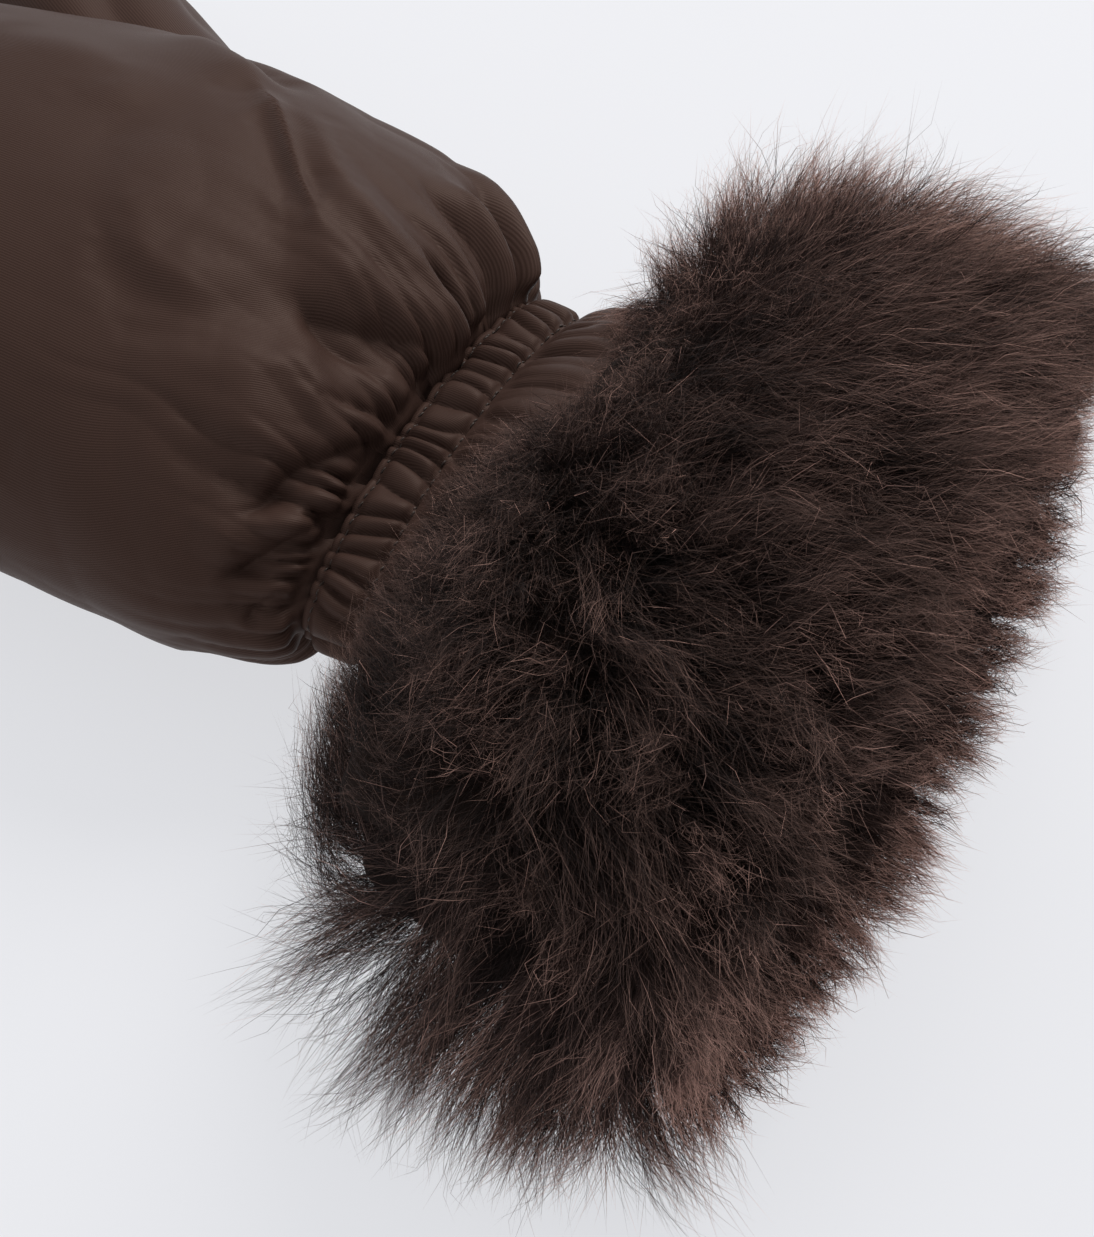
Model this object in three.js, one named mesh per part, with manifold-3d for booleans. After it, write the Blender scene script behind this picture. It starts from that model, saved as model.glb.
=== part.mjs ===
// A down mitten for the left hand, lying palm down on a surface.
//
// A puffy nylon hand and thumb lead into an elasticated wrist, a short plain gauntlet and a wide cuff
// of long fur. The hand is hollow, and the hollow runs from the open cuff into the hand and the thumb.
//
// Millimetres, +Z up. The hand points along +Y, its thumb is on the +X side, and the cuff opens to -Y.
// The origin is the middle of the mitten's footprint, on the surface that it lies on.

import * as THREE from 'three';
import Module from 'manifold-3d';
import { mergeVertices } from 'three/addons/utils/BufferGeometryUtils.js';

const wasm = await Module();
wasm.setup();
const { Manifold, Mesh } = wasm;

// The hand
const HAND_LENGTH = 172;
const HAND_WIDTH = 122;
const HAND_HEIGHT = 72;
const HAND_PRESSED = 5; // how far the palm is flattened by the surface
const HAND_PADDING = 8; // down between the nylon and the lining
const WRIST_PADDING = 3; // the same, where the wrist is gathered

// The thumb
const THUMB_LENGTH = 76; // past the side of the hand
const THUMB_WIDTH = 46;
const THUMB_HEIGHT = 40;
const THUMB_PADDING = 6;
const THUMB_SPREAD_DEG = 30; // away from the hand's own direction
const THUMB_FROM_WRIST = 92; // where its middle leaves the hand
const THUMB_SEAT = 12; // how far its middle sits inside the hand's side there
const THUMB_ROOT = 26; // how much of its tube runs on into the hand

// The wrist
const WRIST_WIDTH = 88;
const WRIST_HEIGHT = 34;
const WRIST_LIFT = 30; // its middle above the surface
const BAND_LENGTH = 10;
const BAND_WALL = 3;
const BAND_RIBS = 42;
const BAND_RIB_DEPTH = 1.3;

// The gauntlet: a plain nylon start, then the fur
const PLAIN_LENGTH = 22;
const PLAIN_WALL = 2.4;
const PLAIN_PUFF = 4; // how far the cloth swells past the gathers
const PLAIN_PLEATS = 14; // the soft pleats that run out of the gathers
const FUR_LENGTH = 60; // of the skin that the hair grows from
const FUR_SKIN_WALL = 3;
const MOUTH_WIDTH = 134;
const MOUTH_HEIGHT = 62;
const MOUTH_LIFT = 40;
const MOUTH_DRIFT = -14; // the cuff falls a little to the side away from the thumb

// The hair
const HAIR_DEPTH = 23; // of the dense fur, before the locks
const HAIR_SIDE_SPREAD = 7; // how much deeper it is at the sides
const HAIR_SURFACE_SPREAD = 17; // how far the hair beside the surface is pushed outwards
const LOCK_LENGTH = 22;
const LOCK_WIDTH = 18;
const LOCK_THICKNESS = 11;
const LOCKS_AROUND = 19;

const GAP = 0.3; // between neighbouring pieces
const OVERRUN = 1; // how far a cutting solid runs past what it cuts

const TURN = 2 * Math.PI;

// Sections of the hand, by share of HAND_LENGTH. swell goes from the wrist's size (0) to the hand's (1),
// close is what is left of the size towards the fingertips, and lean moves the middle, by share of the width.
const HAND_SECTIONS = [
  { along: 0.0, swell: 0.0, close: 1.0, lean: 0.0 },
  { along: 0.03, swell: 0.38, close: 1.0, lean: 0.008 },
  { along: 0.08, swell: 0.66, close: 1.0, lean: 0.022 },
  { along: 0.18, swell: 0.9, close: 1.0, lean: 0.045 },
  { along: 0.34, swell: 1.0, close: 1.0, lean: 0.065 },
  { along: 0.5, swell: 1.0, close: 0.99, lean: 0.07 },
  { along: 0.66, swell: 0.98, close: 0.95, lean: 0.062 },
  { along: 0.8, swell: 0.93, close: 0.86, lean: 0.045 },
  { along: 0.9, swell: 0.88, close: 0.7, lean: 0.025 },
  { along: 0.965, swell: 0.84, close: 0.47, lean: 0.01 },
  { along: 1.0, swell: 0.82, close: 0.0, lean: 0.0 },
];

// Rings are closer together at the gathers and at the fingertips, where the shape changes fastest.
const HAND_RINGS = [
  0, 0.02, 0.05, 0.09, 0.14, 0.21, 0.3, 0.4, 0.51, 0.62, 0.72, 0.8, 0.87, 0.93, 0.97, 0.993,
];
const HAND_LINING_RINGS = [0, 0.03, 0.06, 0.11, 0.18, 0.3, 0.46, 0.66, 0.8, 0.9, 0.97];

// The share of HAND_LENGTH over which the padding grows from the wrist's to the hand's.
const PADDING_REACH = 0.06;

// The main folds of the shell. around is the share of the way round the hand from the thumb side over the
// back (0.25) to the other side (0.5); drift is how far the fold has moved round at its end; from and to are
// shares of HAND_LENGTH; width is a share of the way round; rise is a share of HAND_HEIGHT.
const FOLDS = [
  { around: 0.02, drift: 0.01, from: 0.0, to: 0.3, width: 0.012, rise: -0.07 },
  { around: 0.075, drift: -0.02, from: 0.0, to: 0.36, width: 0.013, rise: -0.075 },
  { around: 0.105, drift: -0.015, from: 0.0, to: 0.34, width: 0.014, rise: 0.045 },
  { around: 0.135, drift: 0.0, from: 0.0, to: 0.3, width: 0.012, rise: -0.06 },
  { around: 0.19, drift: -0.035, from: 0.02, to: 0.62, width: 0.022, rise: 0.05 },
  { around: 0.205, drift: 0.0, from: 0.0, to: 0.34, width: 0.014, rise: -0.07 },
  { around: 0.265, drift: 0.01, from: 0.0, to: 0.42, width: 0.016, rise: -0.088 },
  { around: 0.3, drift: 0.03, from: 0.0, to: 0.5, width: 0.026, rise: 0.05 },
  { around: 0.335, drift: 0.01, from: 0.0, to: 0.26, width: 0.012, rise: -0.06 },
  { around: 0.375, drift: 0.03, from: 0.0, to: 0.46, width: 0.015, rise: -0.08 },
  { around: 0.42, drift: 0.03, from: 0.0, to: 0.4, width: 0.02, rise: 0.035 },
  { around: 0.45, drift: 0.02, from: 0.0, to: 0.34, width: 0.012, rise: -0.07 },
  { around: 0.49, drift: 0.0, from: 0.0, to: 0.24, width: 0.012, rise: -0.06 },
  { around: 0.56, drift: 0.02, from: 0.0, to: 0.3, width: 0.014, rise: -0.06 },
  { around: 0.64, drift: 0.01, from: 0.0, to: 0.34, width: 0.014, rise: -0.06 },
  { around: 0.72, drift: 0.0, from: 0.0, to: 0.3, width: 0.014, rise: -0.06 },
  { around: 0.8, drift: 0.0, from: 0.0, to: 0.34, width: 0.014, rise: -0.06 },
  { around: 0.88, drift: -0.01, from: 0.0, to: 0.3, width: 0.014, rise: -0.06 },
  { around: 0.95, drift: -0.01, from: 0.0, to: 0.28, width: 0.012, rise: -0.06 },
  { around: 0.14, drift: 0.05, from: 0.2, to: 0.85, width: 0.02, rise: -0.035 },
  { around: 0.24, drift: 0.04, from: 0.3, to: 0.95, width: 0.025, rise: -0.03 },
  { around: 0.36, drift: -0.05, from: 0.25, to: 0.9, width: 0.025, rise: -0.035 },
];

// A fold deepens over the first share of its length, starting from a part of its depth, and widens as it
// runs out.
const FOLD_ONSET = 0.24;
const FOLD_AT_START = 0.2;
const FOLD_WIDENING = 1.6;

// Sections of the thumb, by share of its whole length from inside the hand.
const THUMB_SECTIONS = [
  { along: 0.0, size: 0.92 },
  { along: 0.35, size: 0.98 },
  { along: 0.6, size: 1.0 },
  { along: 0.78, size: 0.93 },
  { along: 0.89, size: 0.76 },
  { along: 0.96, size: 0.5 },
  { along: 1.0, size: 0.0 },
];
const THUMB_RINGS = [0, 0.3, 0.52, 0.68, 0.8, 0.89, 0.95, 0.985];

// How far the dense fur stands off its skin, by share of the hair's depth, from the wrist end of the skin to
// the mouth. sweep is how far that hair leans along the cuff, from back over the wrist to out over the mouth.
const FUR_SECTIONS = [
  { along: 0.0, depth: 0.6, sweep: -0.6 },
  { along: 0.14, depth: 0.88, sweep: -0.5 },
  { along: 0.4, depth: 1.0, sweep: -0.08 },
  { along: 0.68, depth: 1.0, sweep: 0.2 },
  { along: 0.88, depth: 0.9, sweep: 0.5 },
  { along: 1.0, depth: 0.62, sweep: 0.75 },
];

// The rows of locks. along is where a row grows, from the wrist end of the skin to the mouth; lean is how
// far its locks lean towards the mouth (negative is back over the wrist); size scales them.
const LOCK_ROWS = [
  { along: 0.0, lean: -0.55, size: 0.7 },
  { along: 0.13, lean: -0.1, size: 0.85 },
  { along: 0.3, lean: 0.45, size: 1.0 },
  { along: 0.5, lean: 0.8, size: 1.05 },
  { along: 0.72, lean: 1.0, size: 1.0 },
  { along: 0.9, lean: 1.2, size: 0.95 },
  { along: 1.0, lean: 1.7, size: 0.9 },
];

// One lock, by share of its length. size narrows it, and bow is how far its middle has bent over.
const LOCK_SECTIONS = [
  { along: -0.4, size: 1.0, bow: 0.0 },
  { along: 0.25, size: 0.95, bow: 0.08 },
  { along: 0.6, size: 0.62, bow: 0.3 },
];
const LOCK_TIP = { along: 0.86, bow: 0.7 };

// A smooth curve through one column of a table of sections.
function column(rows, name, along) {
  const last = rows.length - 1;
  let i = 0;
  while (i < last - 1 && along > rows[i + 1].along) i += 1;
  const slope = (a, b) => (rows[b][name] - rows[a][name]) / (rows[b].along - rows[a].along);
  // At a turning point the curve is level, so that it never swings past the table's values.
  const tangent = (k) => {
    if (k === 0) return slope(0, 1);
    if (k === last) return slope(last - 1, last);
    const before = slope(k - 1, k);
    const after = slope(k, k + 1);
    return before * after <= 0 ? 0 : (2 * before * after) / (before + after);
  };
  const span = rows[i + 1].along - rows[i].along;
  const t = THREE.MathUtils.clamp((along - rows[i].along) / span, 0, 1);
  const t2 = t * t;
  const t3 = t2 * t;
  return (
    (2 * t3 - 3 * t2 + 1) * rows[i][name] +
    (t3 - 2 * t2 + t) * span * tangent(i) +
    (3 * t2 - 2 * t3) * rows[i + 1][name] +
    (t3 - t2) * span * tangent(i + 1)
  );
}

// Points evenly spaced round an oval, from +X over the top, each with its outward normal.
function oval(width, height, count) {
  const FINE = 720;
  const at = (angle) => new THREE.Vector2((width / 2) * Math.cos(angle), (height / 2) * Math.sin(angle));
  const travelled = [0];
  for (let i = 1; i <= FINE; i += 1) {
    travelled.push(travelled[i - 1] + at((TURN * i) / FINE).distanceTo(at((TURN * (i - 1)) / FINE)));
  }
  const points = [];
  let i = 0;
  for (let k = 0; k < count; k += 1) {
    const wanted = (travelled[FINE] * k) / count;
    while (travelled[i + 1] < wanted) i += 1;
    const part = (wanted - travelled[i]) / (travelled[i + 1] - travelled[i]);
    const angle = (TURN * (i + part)) / FINE;
    const p = at(angle);
    const n = new THREE.Vector2(Math.cos(angle) * height, Math.sin(angle) * width).normalize();
    points.push({ around: k / count, x: p.x, z: p.y, nx: n.x, nz: n.y });
  }
  return points;
}

// One cross-section: an oval at a place along Y, each point pushed out by relief(around).
function ring(section, count, relief = () => 0) {
  return oval(section.width, section.height, count).map((p) => {
    const out = relief(p.around);
    return new THREE.Vector3(section.x + p.x + p.nx * out, section.y, section.z + p.z + p.nz * out);
  });
}

function toManifold(geometry) {
  const bare = geometry.clone();
  bare.deleteAttribute('normal');
  bare.deleteAttribute('uv');
  const merged = mergeVertices(bare, 1e-4);
  return new Manifold(
    new Mesh({
      numProp: 3,
      vertProperties: new Float32Array(merged.attributes.position.array),
      triVerts: new Uint32Array(merged.index.array),
    }),
  );
}

// A closed solid through rings of equally many points, with a flat or pointed end at each end.
function loft(rings, firstTip, lastTip) {
  const count = rings[0].length;
  const middle = (points) =>
    points.reduce((sum, p) => sum.add(p), new THREE.Vector3()).divideScalar(points.length);
  const points = [...rings.flat(), firstTip ?? middle(rings[0]), lastTip ?? middle(rings.at(-1))];
  const first = points.length - 2;
  const last = points.length - 1;
  const faces = [];
  for (let k = 0; k < count; k += 1) {
    const next = (k + 1) % count;
    faces.push([first, next, k]);
    for (let r = 0; r < rings.length - 1; r += 1) {
      const a = r * count;
      const b = a + count;
      faces.push([a + k, a + next, b + next], [a + k, b + next, b + k]);
    }
    const end = (rings.length - 1) * count;
    faces.push([end + k, end + next, last]);
  }
  const geometry = new THREE.BufferGeometry();
  geometry.setAttribute('position', new THREE.Float32BufferAttribute(points.flatMap((p) => p.toArray()), 3));
  geometry.setIndex(faces.flat());
  const solid = toManifold(geometry);
  return solid.volume() > 0 ? solid : toManifold(flipped(geometry));
}

function flipped(geometry) {
  const index = geometry.index.array;
  for (let i = 0; i < index.length; i += 3) [index[i + 1], index[i + 2]] = [index[i + 2], index[i + 1]];
  return geometry;
}

function meshOf(name, solid, material) {
  const { vertProperties, triVerts, numProp } = solid.getMesh();
  const geometry = new THREE.BufferGeometry();
  const places = [];
  for (let i = 0; i < vertProperties.length; i += numProp) places.push(...vertProperties.slice(i, i + 3));
  geometry.setAttribute('position', new THREE.Float32BufferAttribute(places, 3));
  geometry.setIndex([...triVerts]);
  const flat = geometry.toNonIndexed();
  flat.computeVertexNormals();
  const mesh = new THREE.Mesh(flat, material);
  mesh.name = name;
  return mesh;
}

const smooth = (t) => {
  const x = THREE.MathUtils.clamp(t, 0, 1);
  return x * x * (3 - 2 * x);
};

// Everything that meets the surface is flattened by it.
const onSurface = (solid) => solid.trimByPlane([0, 0, 1], 0);

// Hand

const HAND_START = BAND_LENGTH / 2 + GAP;

function handSection(along, shrink) {
  const swell = column(HAND_SECTIONS, 'swell', along);
  const close = column(HAND_SECTIONS, 'close', along);
  const lift = THREE.MathUtils.lerp(WRIST_LIFT, HAND_HEIGHT / 2 - HAND_PRESSED, swell);
  return {
    x: column(HAND_SECTIONS, 'lean', along) * HAND_WIDTH,
    y: HAND_START + along * (HAND_LENGTH - shrink),
    z: lift,
    width: (THREE.MathUtils.lerp(WRIST_WIDTH, HAND_WIDTH, swell) - 2 * shrink) * close,
    height: (THREE.MathUtils.lerp(WRIST_HEIGHT, HAND_HEIGHT, swell) - 2 * shrink) * close,
  };
}

// The shell's relief: each fold is deepest near the wrist and runs out along the hand.
function foldRelief(along, around) {
  return FOLDS.reduce((sum, fold) => {
    const way = (along - fold.from) / (fold.to - fold.from);
    if (way < 0 || way > 1) return sum;
    let off = around - (fold.around + fold.drift * way);
    off -= Math.round(off);
    const spread = fold.width * (1 + FOLD_WIDENING * way);
    const depth = smooth(FOLD_AT_START + (1 - FOLD_AT_START) * (way / FOLD_ONSET));
    const strength = depth * (1 - smooth(way));
    return sum + fold.rise * HAND_HEIGHT * strength * Math.exp(-((off / spread) ** 2));
  }, 0);
}

const HAND_POINTS_AROUND = 68;
const LINING_POINTS_AROUND = 24;

function handSolid(extra) {
  const rings = HAND_RINGS.map((along) => {
    const section = handSection(along, -extra);
    return ring(section, HAND_POINTS_AROUND, (around) => foldRelief(along, around));
  });
  const tip = handSection(1, -extra);
  return loft(rings, null, new THREE.Vector3(tip.x, tip.y, tip.z));
}

// The lining's hollow follows the shell at the padding's distance, and lies a padding above the surface.
function handHollow() {
  const rings = HAND_LINING_RINGS.map((along) => {
    const padding = THREE.MathUtils.lerp(WRIST_PADDING, HAND_PADDING, smooth(along / PADDING_REACH));
    const section = handSection(along, padding);
    const lowest = Math.max(section.z - section.height / 2, padding);
    const highest = section.z + section.height / 2;
    section.z = (lowest + highest) / 2;
    section.height = highest - lowest;
    return ring(section, LINING_POINTS_AROUND);
  });
  const tip = handSection(1, HAND_PADDING);
  const mouth = ring({ ...handSection(0, WRIST_PADDING), y: HAND_START - OVERRUN }, LINING_POINTS_AROUND);
  return loft([mouth, ...rings], null, new THREE.Vector3(tip.x, tip.y, tip.z));
}

// Thumb

const THUMB_POINTS_AROUND = 24;
const THUMB_HOLLOW_POINTS_AROUND = 14;

function thumbSolid(shrink) {
  const side = handSection((THUMB_FROM_WRIST - HAND_START) / HAND_LENGTH, 0);
  const whole = THUMB_LENGTH + THUMB_ROOT;
  const section = (along) => {
    const size = column(THUMB_SECTIONS, 'size', along);
    return {
      x: 0,
      y: -THUMB_ROOT + along * (whole - shrink),
      z: 0,
      width: (THUMB_WIDTH - 2 * shrink) * size,
      height: (THUMB_HEIGHT - 2 * shrink) * size,
    };
  };
  const count = shrink > 0 ? THUMB_HOLLOW_POINTS_AROUND : THUMB_POINTS_AROUND;
  const rings = THUMB_RINGS.map((along) => ring(section(along), count));
  const tip = section(1);
  return loft(rings, null, new THREE.Vector3(tip.x, tip.y, tip.z))
    .rotate([0, 0, -THUMB_SPREAD_DEG])
    .translate([side.x + side.width / 2 - THUMB_SEAT, THUMB_FROM_WRIST, (THUMB_HEIGHT - HAND_PRESSED) / 2]);
}

// Wrist and gauntlet

const wristSection = (y, grow) => ({
  x: 0,
  y,
  z: WRIST_LIFT,
  width: WRIST_WIDTH + 2 * grow,
  height: WRIST_HEIGHT + 2 * grow,
});

// The elasticated channel: soft ribs run across it, pinched at the stitch row along each edge.
const BAND_POINTS_PER_RIB = 4;
const BAND_ROWS = [
  { along: -0.5, puff: 0.35 },
  { along: -0.25, puff: 1 },
  { along: 0.25, puff: 1 },
  { along: 0.5, puff: 0.35 },
];

function bandSolid() {
  const rings = BAND_ROWS.map((row) => {
    const relief = (around) => {
      const rib = 1 + Math.cos(TURN * BAND_RIBS * around);
      return BAND_RIB_DEPTH * (rib * row.puff - 1);
    };
    return ring(wristSection(row.along * BAND_LENGTH, 0), BAND_RIBS * BAND_POINTS_PER_RIB, relief);
  });
  const through = [-1, 1].map((end) => {
    const y = end * (BAND_LENGTH / 2 + OVERRUN);
    return ring(wristSection(y, -BAND_WALL), LINING_POINTS_AROUND);
  });
  return loft(rings).subtract(loft(through));
}

const PLAIN_START = -BAND_LENGTH / 2 - GAP;
const FUR_START = PLAIN_START - PLAIN_LENGTH - GAP;
const MOUTH = FUR_START - FUR_LENGTH;

// The gauntlet flares from the wrist to the mouth in a slightly curved line.
const FLARE_CURVE = 0.35;

function gauntletSection(y, grow) {
  const way = Math.max((PLAIN_START - y) / (PLAIN_START - MOUTH), 0);
  const flare = THREE.MathUtils.lerp(way, smooth(way), FLARE_CURVE);
  return {
    x: MOUTH_DRIFT * flare,
    y,
    z: THREE.MathUtils.lerp(WRIST_LIFT, MOUTH_LIFT, flare),
    width: THREE.MathUtils.lerp(WRIST_WIDTH, MOUTH_WIDTH, flare) + 2 * grow,
    height: THREE.MathUtils.lerp(WRIST_HEIGHT, MOUTH_HEIGHT, flare) + 2 * grow,
  };
}

const PLAIN_POINTS_AROUND = 4 * PLAIN_PLEATS;
const PLAIN_ROWS = 4;

function plainSolid() {
  const rings = [];
  for (let i = 0; i <= PLAIN_ROWS; i += 1) {
    const way = i / PLAIN_ROWS;
    const section = gauntletSection(PLAIN_START - way * PLAIN_LENGTH, PLAIN_PUFF * Math.sin(Math.PI * way));
    const pleat = (around) => {
      const dip = (1 - Math.cos(TURN * PLAIN_PLEATS * around)) / 2;
      return -BAND_RIB_DEPTH * (1 - way) * dip;
    };
    rings.push(ring(section, PLAIN_POINTS_AROUND, pleat));
  }
  const end = PLAIN_START - PLAIN_LENGTH;
  return loft(rings).subtract(gauntletHollow(PLAIN_START + OVERRUN, end - OVERRUN, PLAIN_WALL));
}

const GAUNTLET_HOLLOW_POINTS_AROUND = 36;
const GAUNTLET_HOLLOW_STEPS = 3;

function gauntletHollow(from, to, wall) {
  const rings = [];
  for (let i = 0; i <= GAUNTLET_HOLLOW_STEPS; i += 1) {
    const y = THREE.MathUtils.lerp(from, to, i / GAUNTLET_HOLLOW_STEPS);
    rings.push(ring(gauntletSection(y, -wall), GAUNTLET_HOLLOW_POINTS_AROUND));
  }
  return loft(rings);
}

// Fur

const FUR_POINTS_AROUND = 44;
const FUR_RINGS = 6;

// Hair leans back over the wrist mostly on the side that the cuff falls to. Hair that leans out over the
// mouth does so less at both sides, which rounds the corners of the mouth.
const LEAN_BACK_UP_TO = 0.55; // the normal's sideways part where hair stops leaning back
const leanAt = (p, lean) => lean * (lean < 0 ? Math.max(LEAN_BACK_UP_TO - p.nx, 0) : 1 - p.nx ** 2 / 2);

// Hair low on the sides spreads out over the surface, less so towards the mouth.
const SPREAD_ONSET = 1.6; // how soon below the middle of the side that begins
const SPREAD_LOST_AT_MOUTH = 0.6;
const besideSurface = (p) => smooth(-SPREAD_ONSET * p.nz) * Math.sign(p.nx) * Math.sqrt(Math.abs(p.nx));

// A point of the dense fur's surface over one point of the skin, at a share of its depth.
function furPoint(section, p, along, share) {
  const depth = share * column(FUR_SECTIONS, 'depth', along) * (HAIR_DEPTH + HAIR_SIDE_SPREAD * p.nx ** 2);
  const spread = share * HAIR_SURFACE_SPREAD * besideSurface(p) * (1 - SPREAD_LOST_AT_MOUTH * along);
  return new THREE.Vector3(
    section.x + p.x + p.nx * depth + spread,
    section.y - depth * leanAt(p, column(FUR_SECTIONS, 'sweep', along)),
    section.z + p.z + p.nz * depth,
  );
}

// The dense fur under the locks is a little uneven, so that its outline is not a plain barrel.
const FUR_WAVES = 5;
const FUR_WAVE_DEPTH = 0.1;

function furBody() {
  const rings = [];
  for (let i = 0; i <= FUR_RINGS; i += 1) {
    const along = i / FUR_RINGS;
    const section = gauntletSection(FUR_START - along * FUR_LENGTH, 0);
    const wave = (around) => 1 + FUR_WAVE_DEPTH * Math.sin(TURN * (FUR_WAVES * around + along / 2));
    const skin = oval(section.width, section.height, FUR_POINTS_AROUND);
    rings.push(skin.map((p) => furPoint(section, p, along, wave(p.around))));
  }
  return loft(rings);
}

// A lock: a flattened tuft that leaves the fur along out and bows over towards fall.
function lock(base, out, fall, size) {
  const LOCK_SIDES = 4;
  const across = new THREE.Vector3().crossVectors(out, fall).normalize();
  const up = new THREE.Vector3().crossVectors(across, out).normalize();
  const middle = (station) =>
    base
      .clone()
      .addScaledVector(out, station.along * LOCK_LENGTH * size)
      .addScaledVector(fall, station.bow * LOCK_LENGTH * size);
  const rings = LOCK_SECTIONS.map((station) =>
    Array.from({ length: LOCK_SIDES }, (_, k) => {
      const angle = (TURN * k) / LOCK_SIDES;
      return middle(station)
        .addScaledVector(across, (Math.cos(angle) * LOCK_WIDTH * size * station.size) / 2)
        .addScaledVector(up, (Math.sin(angle) * LOCK_THICKNESS * size * station.size) / 2);
    }),
  );
  return loft(rings, null, middle(LOCK_TIP));
}

// Repeatable unevenness from -1 to 1, so that the locks are all a little different.
const uneven = (a, b) => {
  const s = Math.sin(a * 12.9898 + b * 78.233) * 43758.5453;
  return 2 * (s - Math.floor(s)) - 1;
};

const LOCK_ROOT_DEPTH = 0.86; // where the locks start, as a share of the dense fur's depth
const LOCK_UNEVEN_SIZE = 0.2;
const LOCK_UNEVEN_TURN = 0.3;
const LOCK_SHORTER_AT_CORNERS = 0.55; // of the mouth
const SIDE_DROOP = 0.3; // how far locks at the sides point down, and their tips fall
const SIDE_FALL = 0.8;
const PRESSED_BELOW = -0.75; // hair pressed under the cuff has no locks of its own

function furLocks() {
  const locks = [];
  LOCK_ROWS.forEach((row, r) => {
    const section = gauntletSection(FUR_START - row.along * FUR_LENGTH, 0);
    oval(section.width, section.height, LOCKS_AROUND * 2).forEach((p, k) => {
      // Neighbouring rows are staggered.
      if (k % 2 !== r % 2 || p.nz < PRESSED_BELOW) return;
      const side = p.nx ** 2;
      const lean = leanAt(p, row.lean);
      const base = furPoint(section, p, row.along, LOCK_ROOT_DEPTH);
      const turn = new THREE.Vector3(-p.nz, 0, p.nx).multiplyScalar(LOCK_UNEVEN_TURN * uneven(k, r));
      const out = new THREE.Vector3(p.nx, 0, Math.max(p.nz, 0) - SIDE_DROOP * side).normalize();
      out.y -= lean;
      const fall = new THREE.Vector3(0, -lean, -SIDE_FALL * side);
      const atCorner = 1 - LOCK_SHORTER_AT_CORNERS * side * row.along;
      const size = row.size * atCorner * (1 + LOCK_UNEVEN_SIZE * uneven(r, k));
      locks.push(lock(base, out.add(turn).normalize(), fall.add(turn).normalize(), size));
    });
  });
  return locks;
}

function furSolid() {
  const fur = Manifold.union([furBody(), ...furLocks()]);
  // The hollow runs on past the longest hair at both ends.
  const past = HAIR_DEPTH + HAIR_SIDE_SPREAD + LOCK_LENGTH;
  const hollow = gauntletHollow(FUR_START + past, MOUTH - past, FUR_SKIN_WALL);
  return onSurface(fur.subtract(hollow).subtract(plainClearance()));
}

// The room that the plain gauntlet, the wrist and the start of the hand need, with the gap round them.
function plainClearance() {
  const grow = PLAIN_PUFF + GAP;
  const sections = [
    gauntletSection(FUR_START + GAP, grow),
    gauntletSection(PLAIN_START, grow),
    wristSection(BAND_LENGTH / 2, grow),
    wristSection(HAND_START + LOCK_LENGTH + HAIR_DEPTH, grow),
  ];
  return loft(sections.map((section) => ring(section, PLAIN_POINTS_AROUND)));
}

// Assembly

const nylon = new THREE.MeshStandardMaterial({ color: '#3e312c', roughness: 0.5, metalness: 0 });
const fur = new THREE.MeshStandardMaterial({ color: '#362a25', roughness: 0.85, metalness: 0 });

const handOuter = handSolid(0);
const thumbHollow = thumbSolid(THUMB_PADDING);
const handShell = onSurface(handOuter).subtract(handHollow()).subtract(thumbHollow);
const thumbShell = onSurface(thumbSolid(0)).subtract(thumbHollow).subtract(handSolid(GAP));

const largest = (solid) => solid.decompose().sort((a, b) => b.volume() - a.volume())[0];

const mitten = new THREE.Group();
mitten.add(
  meshOf('hand_shell', largest(handShell), nylon),
  meshOf('thumb_shell', largest(thumbShell), nylon),
  meshOf('wrist_band', bandSolid(), nylon),
  meshOf('cuff_band', plainSolid(), nylon),
  meshOf('fur_cuff', largest(furSolid()), fur),
);

// The origin is the middle of the footprint.
const box = new THREE.Box3().setFromObject(mitten);
const centre = box.getCenter(new THREE.Vector3());
mitten.position.set(-centre.x, -centre.y, -box.min.z);

export default mitten;
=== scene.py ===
# %% [markdown]
# # A down mitten with a long fur cuff
# The mitten lies palm down: a padded nylon hand and thumb, a wrist gathered on elastic, a short plain
# gauntlet, and a wide flared cuff of long dark hair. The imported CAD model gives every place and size, and
# this lesson dresses it. It works in millimetres from the middle of the wrist, because that is how a
# pattern cutter measures a glove, and turns them to metres when a mesh is made.

# %% Load the frame
import math

import bpy
import numpy as np
from mathutils import Matrix, Vector


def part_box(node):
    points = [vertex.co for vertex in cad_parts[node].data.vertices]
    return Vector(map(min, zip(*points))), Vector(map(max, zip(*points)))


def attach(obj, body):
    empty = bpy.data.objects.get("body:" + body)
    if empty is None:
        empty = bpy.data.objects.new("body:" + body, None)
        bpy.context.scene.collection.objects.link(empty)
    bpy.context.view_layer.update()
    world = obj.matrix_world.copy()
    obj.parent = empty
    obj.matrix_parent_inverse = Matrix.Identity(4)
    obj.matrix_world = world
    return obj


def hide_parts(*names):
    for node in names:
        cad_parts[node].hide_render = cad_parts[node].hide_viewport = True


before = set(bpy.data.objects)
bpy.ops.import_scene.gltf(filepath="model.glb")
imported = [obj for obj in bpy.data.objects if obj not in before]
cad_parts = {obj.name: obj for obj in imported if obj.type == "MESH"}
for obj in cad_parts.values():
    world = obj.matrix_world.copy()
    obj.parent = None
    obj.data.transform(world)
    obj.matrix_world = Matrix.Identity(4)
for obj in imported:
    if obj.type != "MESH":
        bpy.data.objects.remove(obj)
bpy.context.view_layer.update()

low, high = (np.array(corner) * 1000 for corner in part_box("wrist_band"))
WRIST = (low + high) / 2 * [1, 1, 0]
TURN = 2 * math.pi

# %% [markdown]
# ## Camera, light and floor
# The camera is made first, so that every later piece can be checked in the photograph's own frame. It
# stands on the little-finger side, 50 degrees above the table, and looks across the wrist at the cuff.
# A long lens, about 108 mm, keeps the near fur from looking larger than the far fur.

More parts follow.
